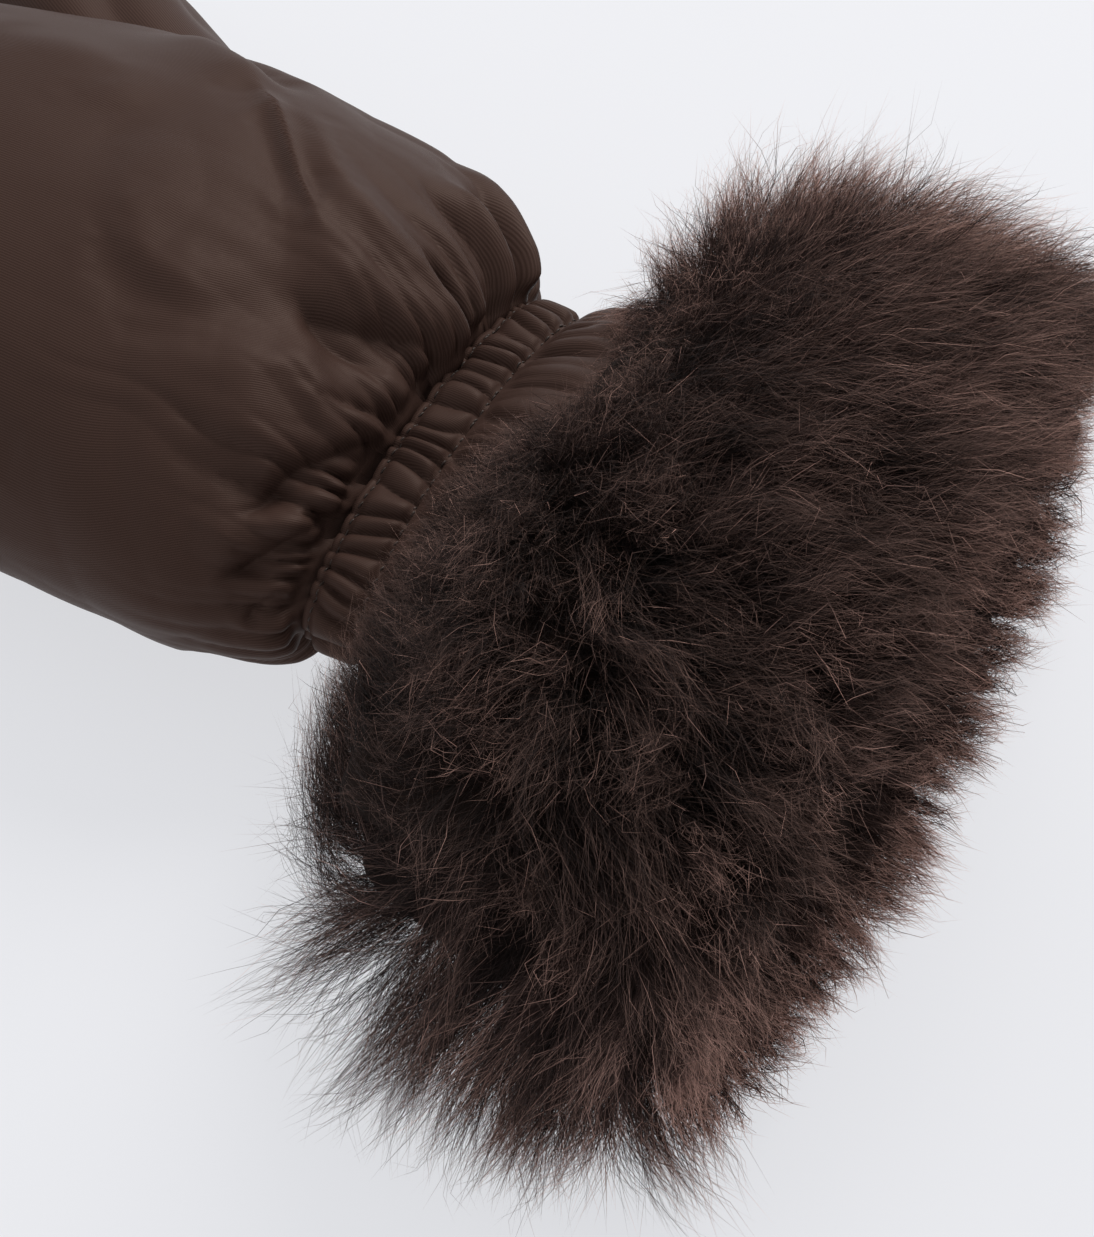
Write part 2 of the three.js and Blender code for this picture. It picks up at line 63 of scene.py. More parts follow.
# %% Camera
IMAGE = (1094, 1237)
AZIMUTH, ELEVATION = math.radians(-62), math.radians(50)
DISTANCE = 650.0  # mm, from the camera to the top of the wrist
WRIST_TOP = WRIST + [0, 0, 47]  # the top of the band, in mm over the table
WRIST_TOP_PIXEL = (450, 412)
FOCAL_PIXELS = 3705.0  # the lens in pixels of the picture: an object 1 mm wide covers 5.7 of them here
SENSOR = 36.0

back = np.array([
    math.sin(AZIMUTH) * math.cos(ELEVATION),
    -math.cos(AZIMUTH) * math.cos(ELEVATION),
    math.sin(ELEVATION),
])
right = np.array([math.cos(AZIMUTH), math.sin(AZIMUTH), 0.0])
up = np.cross(back, right)
across = (WRIST_TOP_PIXEL[0] - IMAGE[0] / 2) / FOCAL_PIXELS
down = (WRIST_TOP_PIXEL[1] - IMAGE[1] / 2) / FOCAL_PIXELS
eye = WRIST_TOP - DISTANCE * (across * right - down * up - back)

camera = bpy.data.objects.new("camera", bpy.data.cameras.new("camera"))
bpy.context.scene.collection.objects.link(camera)
camera.data.lens = FOCAL_PIXELS / max(IMAGE) * SENSOR
camera.data.sensor_width = SENSOR
camera.matrix_world = Matrix([
    [right[0], up[0], back[0], eye[0] / 1000],
    [right[1], up[1], back[1], eye[1] / 1000],
    [right[2], up[2], back[2], eye[2] / 1000],
    [0, 0, 0, 1],
])
bpy.context.scene.camera = camera
print("lens", round(camera.data.lens, 1), "mm at", (eye / 1000).round(3))


# %% [markdown]
# Colours are written as they are picked from a screen, in sRGB hex codes, but a shader adds and multiplies
# light, so one function turns them to linear values. Two more keep each material short to read: one makes
# the Principled shader with its constant values on its own sockets, and one adds any other node.

# %% Helpers for colour and nodes
def srgb(code, alpha=1.0):
    """A hex colour as the eye sees it, in the linear values that the shader works with."""
    parts = [int(code[i:i + 2], 16) / 255 for i in (1, 3, 5)]
    return (*(c / 12.92 if c <= 0.04045 else ((c + 0.055) / 1.055) ** 2.4 for c in parts), alpha)


def add(tree, kind, inputs=None, **settings):
    """One node, with its settings, its constant inputs and its links."""
    made = tree.nodes.new(kind)
    for key, value in settings.items():
        setattr(made, key, value)
    for key, value in (inputs or {}).items():
        if isinstance(value, bpy.types.NodeSocket):
            tree.links.new(value, made.inputs[key])
        else:
            made.inputs[key].default_value = value
    return made


def material(name, **constants):
    """A new material with its Principled shader, whose constant values sit on its own sockets."""
    made = bpy.data.materials.new(name)
    made.use_nodes = True
    shader = made.node_tree.nodes["Principled BSDF"]
    for key, value in constants.items():
        shader.inputs[key.replace("_", " ")].default_value = value
    return made, made.node_tree, shader


print("a middle grey, #808080, is", round(srgb("#808080")[0], 3), "in linear light")

# %% [markdown]
# The photograph is lit as for a catalogue: one broad lamp above and beyond the mitten, a white room that
# fills the shadows, and a table that glows a little, so that shadows on it stay pale. A product photograph
# keeps its plain colours, so no film curve is laid over the picture.

# %% Floor, world and lights
KEY_PLACE, KEY_TARGET = (1.0, -0.1, 1.0), (0, 0, 0.03)  # metres
KEY_SIZE, KEY_POWER = 0.8, 12.5  # metres across, watts
ROOM_STRENGTH, TABLE_GLOW = 0.58, 0.715
TABLE_SIZE = 6


def area_light(name, place, towards, size, power, colour):
    """A round soft lamp that points at a place."""
    lamp = bpy.data.lights.new(name, "AREA")
    lamp.shape, lamp.size, lamp.energy, lamp.color = "DISK", size, power, srgb(colour)[:3]
    made = bpy.data.objects.new(name, lamp)
    bpy.context.scene.collection.objects.link(made)
    made.location = place
    made.rotation_euler = (Vector(towards) - Vector(place)).to_track_quat("-Z", "Y").to_euler()
    return made


area_light("key", KEY_PLACE, KEY_TARGET, KEY_SIZE, KEY_POWER, "#fffaf6")

world = bpy.data.worlds.new("studio")
bpy.context.scene.world = world
bpy.context.scene.view_settings.view_transform = "Standard"
world.use_nodes = True
background = world.node_tree.nodes["Background"]
background.inputs["Color"].default_value = srgb("#f4f5f8")
background.inputs["Strength"].default_value = ROOM_STRENGTH

bpy.ops.object.select_all(action="DESELECT")
bpy.ops.mesh.primitive_plane_add(size=TABLE_SIZE, location=(0, 0, -0.0001))
floor = bpy.context.object
floor.name = "floor"
# Opal acrylic, lit from below: a matt white sheet whose own glow makes every shadow pale.
opal, _, _ = material("lit_table", Base_Color=srgb("#7b7c7f"), Roughness=0.9, Emission_Color=srgb("#f4f5f9"),
                      Emission_Strength=TABLE_GLOW)
floor.data.materials.append(opal)
print("one lamp of", KEY_POWER, "W and a table", TABLE_SIZE, "m across")

# %% [markdown]
# ## The forms shared by all the pieces
# A glove is a row of ovals along one line. Each piece below is such a row: a table of sections gives the
# widths and heights, a smooth curve joins them, and points are spaced evenly by cloth length round each
# oval, so that folds and weave keep their size from the wrist to the fingertips.


# %% Curves and ovals
def curve(table, x):
    """A smooth curve through (x, y) pairs that never swings past them."""
    xs, ys = np.array(table, float).T
    slope = np.diff(ys) / np.diff(xs)
    before, after = slope[:-1], slope[1:]
    level = before * after <= 0
    middle = np.where(level, 0, 2 * before * after / np.where(level, 1, before + after))
    tangent = np.concatenate([slope[:1], middle, slope[-1:]])
    x = np.clip(x, xs[0], xs[-1])
    i = np.clip(np.searchsorted(xs, x, side="right") - 1, 0, len(xs) - 2)
    span = xs[i + 1] - xs[i]
    t = (x - xs[i]) / span
    return (
        (2 * t**3 - 3 * t**2 + 1) * ys[i] + (t**3 - 2 * t**2 + t) * span * tangent[i]
        + (3 * t**2 - 2 * t**3) * ys[i + 1] + (t**3 - t**2) * span * tangent[i + 1]
    )


def smooth(t):
    """From 0 to 1 with level ends."""
    t = np.clip(t, 0, 1)
    return t * t * (3 - 2 * t)


def mix(a, b, t):
    return a + (b - a) * t


def unit(v):
    return v / np.maximum(np.linalg.norm(v, axis=-1, keepdims=True), 1e-9)


# Angles at even steps of cloth round an oval, for ovals from flat (0.2) to tall (1.2).
ASPECTS = np.linspace(0.2, 1.2, 21)
STEPS = 720


def angle_row(aspect):
    """The angle at each even step of cloth round an oval of one aspect."""
    angles = np.linspace(0, TURN, STEPS + 1)
    steps = np.hypot(np.diff(np.cos(angles)), np.diff(aspect * np.sin(angles)))
    length = np.concatenate([[0], np.cumsum(steps)])
    return np.interp(np.linspace(0, 1, STEPS + 1), length / length[-1], angles)


ANGLES = np.array([angle_row(a) for a in ASPECTS])


def oval(around, width, height):
    """x, z and the outward normal of points at a share of the cloth round an oval, from +X over the top."""
    around, width, height = np.broadcast_arrays(around, width, height)
    row = np.clip((height / width - ASPECTS[0]) / (ASPECTS[1] - ASPECTS[0]), 0, len(ASPECTS) - 1.001)
    col = (around % 1) * STEPS
    r, c = row.astype(int), np.minimum(col.astype(int), STEPS - 1)
    fr, fc = row - r, col - c
    flatter = mix(ANGLES[r, c], ANGLES[r, c + 1], fc)
    taller = mix(ANGLES[r + 1, c], ANGLES[r + 1, c + 1], fc)
    angle = mix(flatter, taller, fr)
    nx, nz = np.cos(angle) * height, np.sin(angle) * width
    size = np.hypot(nx, nz)
    return width / 2 * np.cos(angle), height / 2 * np.sin(angle), nx / size, nz / size


def ripple(x, low_count, high_count, seed):
    """Uneven waves that close on themselves round the mitten, from -1 to 1."""
    spread = np.random.default_rng(seed)
    counts = np.arange(low_count, high_count + 1)
    heights = spread.uniform(0.5, 1.0, len(counts))
    starts = spread.uniform(0, 1, len(counts))
    waves = sum(h * np.sin(TURN * (n * x + s)) for n, h, s in zip(counts, heights, starts))
    return waves / np.sqrt((heights**2).sum())


print("a quarter of the cloth round the wrist is at", np.round(oval(0.25, 88.0, 34.0)[:2], 1), "mm")

# %% [markdown]
# Cloth with hundreds of folds and hair in tens of thousands can't be drawn by hand, so their points are
# worked out as arrays and handed to Blender in one go. A UV map in cloth millimetres goes with every skin,
# because a weave follows the cloth into each fold.

# %% Meshes from arrays
def array_mesh(name, points, loops, sizes, uv, uv_name):
    """An object from points in mm, the faces' corners in one long row, and a UV place for each corner."""
    mesh = bpy.data.meshes.new(name)
    mesh.vertices.add(len(points))
    mesh.vertices.foreach_set("co", ((points + WRIST) / 1000).ravel())
    mesh.loops.add(len(loops))
    mesh.loops.foreach_set("vertex_index", loops.astype(np.int32))
    mesh.polygons.add(len(sizes))
    mesh.polygons.foreach_set("loop_start", np.concatenate([[0], np.cumsum(sizes)[:-1]]).astype(np.int32))
    mesh.update(calc_edges=True)
    mesh.uv_layers.new(name=uv_name).data.foreach_set("uv", uv.ravel())
    mesh.polygons.foreach_set("use_smooth", np.ones(len(sizes), bool))
    mesh.validate()
    made = bpy.data.objects.new(name, mesh)
    bpy.context.scene.collection.objects.link(made)
    print(name, len(points), "points,", int((sizes - 2).sum()), "triangles")
    return made


def tube_mesh(name, rows, u, v, close_first=True, close_last=True):
    """A closed skin through rows of points (mm), with a UV map in cloth millimetres."""
    count = rows.shape[1]
    points = rows.reshape(-1, 3)
    last = len(rows) - 1
    extra, faces, corners = [], [], []
    k = np.arange(count)
    nxt = (k + 1) % count
    for r in range(last):
        a, b = r * count, (r + 1) * count
        faces.append(np.stack([a + k, a + nxt, b + nxt, b + k], 1))
        corners.append(np.stack([
            np.stack([u[r, :-1], np.full(count, v[r])], 1), np.stack([u[r, 1:], np.full(count, v[r])], 1),
            np.stack([u[r + 1, 1:], np.full(count, v[r + 1])], 1),
            np.stack([u[r + 1, :-1], np.full(count, v[r + 1])], 1),
        ], 1))
    faces, corners = np.concatenate(faces), np.concatenate(corners)
    fans = []
    for shut, r in ((close_first, 0), (close_last, last)):
        if not shut:
            continue
        tip = len(points) + len(extra)
        extra.append(rows[r].mean(0))
        ring = r * count + k, r * count + nxt
        fans.append((ring[::-1] if r == 0 else ring, tip, r))
    points = np.concatenate([points, np.array(extra).reshape(-1, 3)])
    tri = [np.stack([ring[0], ring[1], np.full(count, tip)], 1) for ring, tip, _ in fans]
    tri_uv = [
        np.repeat(np.stack([u[r, :-1], np.full(count, v[r])], 1)[:, None], 3, 1) for _, _, r in fans
    ]
    loops = np.concatenate([faces.ravel(), *[t.ravel() for t in tri]])
    sizes = np.concatenate([np.full(len(faces), 4), *[np.full(count, 3) for _ in tri]]).astype(int)
    uv = np.concatenate([corners.reshape(-1, 2), *[t.reshape(-1, 2) for t in tri_uv]])
    made = array_mesh(name, points, loops, sizes, uv, "cloth")
    if signed_volume(made.data) < 0:
        made.data.flip_normals()
    return made


def signed_volume(mesh):
    """More than nothing when the faces of a closed mesh point outwards."""
    mesh.calc_loop_triangles()
    places = np.empty(len(mesh.vertices) * 3)
    mesh.vertices.foreach_get("co", places)
    corners = np.empty(len(mesh.loop_triangles) * 3, np.int32)
    mesh.loop_triangles.foreach_get("vertices", corners)
    a, b, c = places.reshape(-1, 3)[corners].reshape(-1, 3, 3).transpose(1, 0, 2)
    return float((a * np.cross(b, c)).sum() / 6)


def pressed(points, lift=0.0):
    """Cloth that meets the table is flattened by it."""
    points[..., 2] = np.maximum(points[..., 2], lift)
    return points


# %% [markdown]
# ## The hand
# The hand is two panels of ribbed nylon with down between them and a lining. The down pushes the shell out
# wherever no seam holds it, and the elastic pulls the same cloth together at the wrist, so long folds run
# out from the gathers and fade over the back of the hand. Each fold is a path over the shell, as a share
# of the way round (0.25 is the middle of the back, 0.5 the little-finger side) and of the way along.

# %% Sections of the hand
# Millimetres. SWELL, CLOSE and SIDEWAYS say, from the wrist (0) to the fingertip (1), how far the hand has
# swollen from the wrist's size to its own, how it closes at the tip, and how far it bends aside.
HAND_LENGTH, HAND_WIDTH, HAND_HEIGHT, HAND_PRESSED = 172, 122, 72, 5
WRIST_WIDTH, WRIST_HEIGHT, WRIST_LIFT = 88, 34, 30
BAND_LENGTH = 10
HAND_START = BAND_LENGTH / 2 + 0.3
PADDING, WRIST_PADDING = 9, 5
SWELL = [(0, 0), (0.03, 0.38), (0.08, 0.66), (0.18, 0.9), (0.34, 1), (0.5, 1), (0.66, 0.98), (0.8, 0.93),
         (0.9, 0.88), (0.965, 0.84), (1, 0.82)]
CLOSE = [(0, 1), (0.34, 1), (0.5, 0.99), (0.66, 0.95), (0.8, 0.86), (0.9, 0.7), (0.965, 0.47), (1, 0)]
SIDEWAYS = [(0, 0), (0.03, 0.008), (0.08, 0.022), (0.18, 0.045), (0.34, 0.065), (0.5, 0.07), (0.66, 0.062),
            (0.8, 0.045), (0.9, 0.025), (0.965, 0.01), (1, 0)]


def hand_section(along, shrink=0.0):
    """x, y, z of the middle, and the width and height of the hand there."""
    swell, close = curve(SWELL, along), curve(CLOSE, along)
    width = (mix(WRIST_WIDTH, HAND_WIDTH, swell) - 2 * shrink) * close
    height = (mix(WRIST_HEIGHT, HAND_HEIGHT, swell) - 2 * shrink) * close
    lift = mix(WRIST_LIFT, HAND_HEIGHT / 2 - HAND_PRESSED, swell)
    return curve(SIDEWAYS, along) * HAND_WIDTH, HAND_START + along * (HAND_LENGTH - shrink), lift, width, height


def cloth_round(along):
    """Millimetres of cloth round the hand at a share of its length."""
    _, _, _, width, height = hand_section(along)
    a, b = width / 2, height / 2
    return math.pi * (3 * (a + b) - np.sqrt((3 * a + b) * (a + 3 * b)))


def padding_at(along):
    """How thick the down and the lining are, in mm: thinner at the wrist."""
    return mix(WRIST_PADDING, PADDING, smooth(along / 0.06))


for where, share in (("wrist", 0.0), ("middle", 0.5)):
    print("cloth round the hand at the", where, round(float(cloth_round(share))), "mm")

# %% [markdown]
# Folds could be sculpted, but then they couldn't be measured or moved. Here each one is a line of numbers,
# read from the photograph: a ridge or a valley with a depth, a width and a path. A soft fold has a round
# section and a crease a pointed one, and both fade in at the far end of the path. Short creases close
# to the wrist are added all the way round, because the elastic gathers the hidden side as well.

# %% Folds of the hand
# Each fold: depth in mm (positive is a ridge), width in mm, how sharp it is (0 soft, 1 a crease), its path.
FOLDS = [
    (-5.5, 3.2, 0.8, [(0.262, 0.16), (0.27, 0.11), (0.262, 0.066), (0.245, 0.038), (0.222, 0.008)]),
    (-3.2, 9.0, 0.0, [(0.25, 0.23), (0.268, 0.15), (0.27, 0.1), (0.26, 0.06)]),
    (3.4, 7.0, 0.0, [(0.222, 0.2), (0.23, 0.12), (0.22, 0.06), (0.205, 0.02)]),
    (2.2, 6.0, 0.0, [(0.3, 0.14), (0.298, 0.08), (0.275, 0.03)]),
    (-5.0, 3.0, 0.8, [(0.418, 0.1), (0.401, 0.062), (0.369, 0.042), (0.345, 0.016), (0.322, 0.0)]),
    (-2.6, 8.0, 0.0, [(0.41, 0.19), (0.392, 0.12), (0.372, 0.07)]),
    (2.8, 6.0, 0.0, [(0.37, 0.17), (0.36, 0.1), (0.335, 0.04)]),
    (-4.2, 2.6, 0.8, [(0.462, 0.09), (0.445, 0.05), (0.42, 0.02), (0.395, 0.0)]),
    (2.4, 6.0, 0.0, [(0.445, 0.12), (0.425, 0.07), (0.395, 0.02)]),
    (-3.2, 2.2, 0.8, [(0.49, 0.05), (0.48, 0.025), (0.465, 0.004)]),
    (-2.4, 2.4, 0.7, [(0.318, 0.075), (0.303, 0.035), (0.288, 0.006)]),
    (1.6, 3.5, 0.2, [(0.33, 0.1), (0.315, 0.055), (0.3, 0.01)]),
    (-4.0, 2.6, 0.8, [(0.178, 0.08), (0.171, 0.046), (0.17, 0.02), (0.167, 0.0)]),
    (3.0, 5.0, 0.1, [(0.105, 0.34), (0.146, 0.261), (0.183, 0.176), (0.19, 0.1), (0.184, 0.04), (0.178, 0.01)]),
    (2.4, 2.4, 0.6, [(0.104, 0.4), (0.145, 0.308), (0.18, 0.247), (0.207, 0.194), (0.226, 0.15)]),
    (-2.2, 7.0, 0.0, [(0.13, 0.38), (0.165, 0.29), (0.195, 0.22), (0.212, 0.16)]),
    (-3.6, 2.6, 0.7, [(0.125, 0.14), (0.118, 0.08), (0.112, 0.03), (0.11, 0.0)]),
    (2.4, 4.0, 0.4, [(0.1, 0.15), (0.098, 0.09), (0.094, 0.04), (0.092, 0.005)]),
    (-3.4, 2.4, 0.8, [(0.078, 0.12), (0.073, 0.06), (0.071, 0.02), (0.07, 0.0)]),
    (2.0, 4.0, 0.2, [(0.05, 0.16), (0.05, 0.08), (0.05, 0.01)]),
    (-3.2, 2.6, 0.7, [(0.03, 0.13), (0.028, 0.06), (0.027, 0.0)]),
    (2.2, 7.0, 0.0, [(0.06, 0.52), (0.083, 0.46), (0.109, 0.39), (0.125, 0.33)]),
    (-2.8, 4.0, 0.3, [(0.04, 0.5), (0.07, 0.44), (0.09, 0.37), (0.105, 0.31)]),
    (-2.6, 8.0, 0.0, [(0.262, 0.44), (0.286, 0.36), (0.315, 0.3), (0.318, 0.235), (0.3, 0.15), (0.285, 0.09)]),
    (1.8, 5.0, 0.1, [(0.25, 0.4), (0.272, 0.35), (0.3, 0.29), (0.302, 0.235), (0.288, 0.17)]),
    (1.6, 8.0, 0.0, [(0.35, 0.3), (0.34, 0.2), (0.318, 0.12), (0.29, 0.05)]),
    (-1.6, 9.0, 0.0, [(0.17, 0.6), (0.212, 0.47), (0.238, 0.36)]),
    (1.4, 8.0, 0.0, [(0.14, 0.62), (0.18, 0.5), (0.21, 0.4)]),
    (-1.8, 7.0, 0.0, [(0.42, 0.5), (0.43, 0.38), (0.44, 0.26)]),
    (-1.5, 8.0, 0.1, [(0.3, 0.8), (0.33, 0.66), (0.34, 0.52)]),
    (-1.6, 7.0, 0.1, [(0.1, 0.85), (0.13, 0.74), (0.16, 0.65)]),
    (-3.4, 2.8, 0.8, [(0.56, 0.14), (0.555, 0.07), (0.55, 0.0)]),
    (-3.4, 2.8, 0.8, [(0.66, 0.12), (0.66, 0.06), (0.66, 0.0)]),
    (-3.4, 2.8, 0.8, [(0.77, 0.12), (0.765, 0.06), (0.76, 0.0)]),
    (-3.4, 2.8, 0.8, [(0.88, 0.14), (0.885, 0.07), (0.89, 0.0)]),
    (-3.0, 2.8, 0.8, [(0.955, 0.13), (0.96, 0.07), (0.965, 0.0)]),
]


SOFT_STRENGTH, CREASE_STRENGTH = 0.9, 1.25
FADE_IN, FADE_OUT = 0.4, 0.35  # shares of a path; only a fold that ends away from the wrist fades out


def path_points(path, count=13):
    """Evenly placed points on a smooth line through a fold's path."""
    path = np.array(path, float)
    knots = np.linspace(0, 1, len(path))
    t = np.linspace(0, 1, count)
    return np.stack([curve(list(zip(knots, path[:, i])), t) for i in (0, 1)], 1)


def fold_relief(around, along, folds, length, cloth):
    """Millimetres that the folds lift or sink the cloth at each point."""
    relief = np.zeros(np.broadcast(around, along).shape)
    for depth, width, sharp, path in folds:
        line = path_points(path)
        nearest = np.full(relief.shape, 1e9)
        place = np.zeros(relief.shape)
        for i, ((a0, l0), (a1, l1)) in enumerate(zip(line[:-1], line[1:])):
            off = around - a0
            x, y = (off - np.round(off)) * cloth, (along - l0) * length
            dx, dy = (a1 - a0) * cloth, (l1 - l0) * length
            t = np.clip((x * dx + y * dy) / (dx * dx + dy * dy), 0, 1)
            distance = (x - t * dx) ** 2 + (y - t * dy) ** 2
            closer = distance < nearest
            nearest = np.where(closer, distance, nearest)
            place = np.where(closer, (i + t) / (len(line) - 1), place)
        soft = np.exp(-nearest / width**2)
        crease = np.exp(-np.sqrt(nearest) / (0.6 * width))
        ends = smooth((1 - place) / FADE_OUT) if path[-1][1] > 0.06 else 1
        strength = mix(SOFT_STRENGTH, CREASE_STRENGTH, sharp) * depth * smooth(place / FADE_IN) * ends
        relief += strength * mix(soft, crease, sharp)
    return relief


print(len(FOLDS), "folds on the hand")

# %% [markdown]
# Elastic gathers cloth in pleats: many narrow ones beside the stitches, which join into fewer and wider
# ones further out. Three waves round the tube give this, each with uneven spacing and its own reach, and a
# few slanting wrinkles with sharp crests lead over to the smooth back of the hand.

# %% Gathers
def pleat(around, count, wander, seed):
    """Round crests with narrow valleys between them, unevenly spaced, from 0 to 1."""
    phase = around * count + wander * ripple(around, 3, count // 3, seed)
    return np.abs(np.sin(math.pi * phase)) ** 0.5


FINE_PLEATS, MIDDLE_PLEATS, WIDE_PLEATS = 46, 24, 11
PLEAT_MEAN = 0.65  # what a pleat's height is on average, taken off so that the tube keeps its size


def gathers(around, distance, seed=3):
    """Pleats at a stitch row, in mm: fine beside it, fewer and wider further out, gone after 30 mm."""
    far = distance * (1 + 0.3 * ripple(around, 6, 20, seed + 4))
    around = around + 0.004 * np.sin(distance / 5) * ripple(around, 4, 12, seed + 5)
    strength = 0.85 + 0.35 * ripple(around, 4, 11, seed + 3)
    near = np.exp(-far / 9)
    fine = (pleat(around, FINE_PLEATS, 0.35, seed) - PLEAT_MEAN) * near
    middle = (pleat(around, MIDDLE_PLEATS, 0.35, seed + 1) - PLEAT_MEAN) * near * smooth(distance / 2.5)
    wide = (pleat(around, WIDE_PLEATS, 0.25, seed + 2) - PLEAT_MEAN) * np.exp(-(((far - 12) / 15) ** 2))
    wide = wide * smooth(distance / 5)
    return strength * (4.4 * fine + 3.2 * middle + 1.0 * wide)


def crumple(around, along):
    """Long shallow wrinkles with sharp crests, in mm, where the cloth is still being drawn in."""
    waves = 0
    for turns, slant, seed in ((9, 3.0, 71), (13, -4.0, 72), (7, 6.5, 73)):
        bend = 0.3 * ripple(around, 2, 9, seed) + 0.35 * np.sin(9 * along + seed)
        phase = turns * around + slant * along + bend
        waves = waves + 0.6 - np.abs(np.sin(math.pi * phase)) ** 0.8
    return -0.3 * waves * smooth(along / 0.05) * (1 - smooth((along - 0.15) / 0.4))


# %% [markdown]
# The padded shell is made as on a glove: a straight tube of cloth, wider than the wrist, is pulled in by
# the elastic and blown out by the down. Blender's Cloth does that. The rest shape is the wide tube, the
# start is the gathered one with its main folds begun, the wrist is held, and a little pressure stands for
# the down. How far each point may move is capped, and the fine pleats at the stitches come afterwards,
# because they are narrower than the simulated mesh.

# %% The hand's start shape
SHOULDER = 3.5  # mm that the cloth on top lies lower, 9 mm from the band
SEAM_SINK = 1.3  # mm that the stitches pull the cloth in
FOLD_ROOM = 1.8  # mm kept over the deepest folds, so that the pleats still show in them


def hand_rows(count, rows, folds, pleats):
    """Rows of points over the hand, with their places along it."""
    around = np.arange(count) / count
    # Rows are closer together near the gathers, where the folds are finest, and stop short of the very tip.
    way = np.linspace(0, 1, rows)
    along = (mix(way, way**2, 0.62) * 0.995)[:, None]
    x, y, z, width, height = hand_section(along)
    px, pz, nx, nz = oval(around, width, height)
    cloth = np.maximum(cloth_round(along), 60)
    distance = along * HAND_LENGTH
    relief = fold_relief(around, along, folds, HAND_LENGTH, cloth)
    bumps = 0.7 * ripple(around + 0.35 * along, 3, 7, 11)
    relief += bumps * smooth(along / 0.3) * (1 - smooth((along - 0.7) / 0.3))
    # On top the cloth comes down to the band in a gentler slope than at the sides.
    on_top = smooth((around - 0.12) / 0.12) * (1 - smooth((around - 0.47) / 0.1))
    relief -= SHOULDER * on_top * np.exp(-(((distance - 9) / 9) ** 2))
    if pleats:
        # The lining, with a millimetre to spare, sets how far the shell can sink.
        deepest = 1 - padding_at(along)
        relief = np.maximum(relief, deepest + FOLD_ROOM)
        relief += gathers(around, distance) * smooth(distance / 2) + crumple(around, along)
        relief -= SEAM_SINK * np.exp(-((distance / 1.6) ** 2))
        relief = np.maximum(relief, deepest)
    # The hand swells steeply out of the band, so its folds stand square to the slope, not to the oval.
    smooth_form = np.stack([x + px, y + 0 * px, z + pz], -1)
    beside = np.roll(smooth_form, -1, 1) - np.roll(smooth_form, 1, 1)
    normals = unit(np.cross(np.gradient(smooth_form, axis=0), beside))
    normals = normals * np.sign((normals * np.stack([nx, 0 * nx, nz], -1)).sum(-1, keepdims=True))
    return smooth_form + normals * relief[..., None], normals, along[:, 0]


# %% Cloth
SIM_AROUND, SIM_ROWS, SIM_FRAMES = 180, 100, 20
SIM_CAP = 2.0  # mm that a point may move
TUBE_EXCESS = 1.08  # how much wider the cut cloth is than the gathered wrist
EXCESS_REACH = 0.4  # the share of the hand's length over which that is taken up
DOWN_PRESSURE = 2.0


def tube_object(start):
    """A plain tube through rows of points (mm), closed at its far end, with its normals outward."""
    rows, count = start.shape[:2]
    k = np.arange(count)
    faces = []
    for r in range(rows - 1):
        a, b = r * count, (r + 1) * count
        faces.append(np.stack([a + k, a + (k + 1) % count, b + (k + 1) % count, b + k], 1))
    tip = rows * count
    points = np.concatenate([start.reshape(-1, 3), start[-1].mean(0)[None]])
    mesh = bpy.data.meshes.new("shell_sim")
    last = (rows - 1) * count
    fan = [(last + i, last + (i + 1) % count, tip) for i in range(count)]
    mesh.from_pydata((points / 1000).tolist(), [], np.concatenate(faces).tolist() + fan)
    if signed_volume(mesh) < 0:
        mesh.flip_normals()
    shell = bpy.data.objects.new("shell_sim", mesh)
    bpy.context.scene.collection.objects.link(shell)
    return shell, points


def blown(start, normals, along, excess, pressure):
    """How Cloth moves each point of a tube whose first rows are held, in mm, without making it fatter."""
    shell, points = tube_object(start)
    shell.shape_key_add(name="gathered")
    cut = shell.shape_key_add(name="cut")
    wide = start.copy()
    factor = mix(excess, 1.0, smooth(along / EXCESS_REACH))[:, None]
    centre = start.mean(1, keepdims=True)
    for axis in (0, 2):
        wide[..., axis] = centre[..., axis] + (start[..., axis] - centre[..., axis]) * factor
    wide = np.concatenate([wide.reshape(-1, 3), points[-1:]])
    cut.data.foreach_set("co", (wide / 1000).ravel())
    cut.value = 0.0
    held = shell.vertex_groups.new(name="held")
    held.add(list(range(2 * start.shape[1])), 1.0, "REPLACE")
    cloth = shell.modifiers.new("cloth", "CLOTH")
    cloth.settings.quality = 6
    cloth.settings.mass = 0.25
    cloth.settings.tension_stiffness = cloth.settings.compression_stiffness = 12
    cloth.settings.shear_stiffness = 5
    cloth.settings.bending_stiffness = 0.15
    cloth.settings.vertex_group_mass = "held"
    cloth.settings.rest_shape_key = cut
    cloth.settings.use_pressure = True
    cloth.settings.uniform_pressure_force = pressure
    cloth.settings.effector_weights.gravity = 0
    cloth.collision_settings.use_collision = False
    scene = bpy.context.scene
    for frame_number in range(1, SIM_FRAMES + 1):
        scene.frame_set(frame_number)
    baked = shell.evaluated_get(bpy.context.evaluated_depsgraph_get()).to_mesh()
    moved = np.empty(len(baked.vertices) * 3)
    baked.vertices.foreach_get("co", moved)
    scene.frame_set(1)
    bpy.data.objects.remove(shell)
    move = moved.reshape(-1, 3)[:-1].reshape(start.shape) * 1000 - start
    outwards = (move * normals).sum(-1).mean(1)[:, None, None]
    move = move - outwards * normals
    size = np.linalg.norm(move, axis=-1, keepdims=True)
    print("cloth moved", size.mean().round(2), "mm on average,", size.max().round(2), "mm at most", flush=True)
    return move * np.minimum(1, SIM_CAP / np.maximum(size, 1e-9))


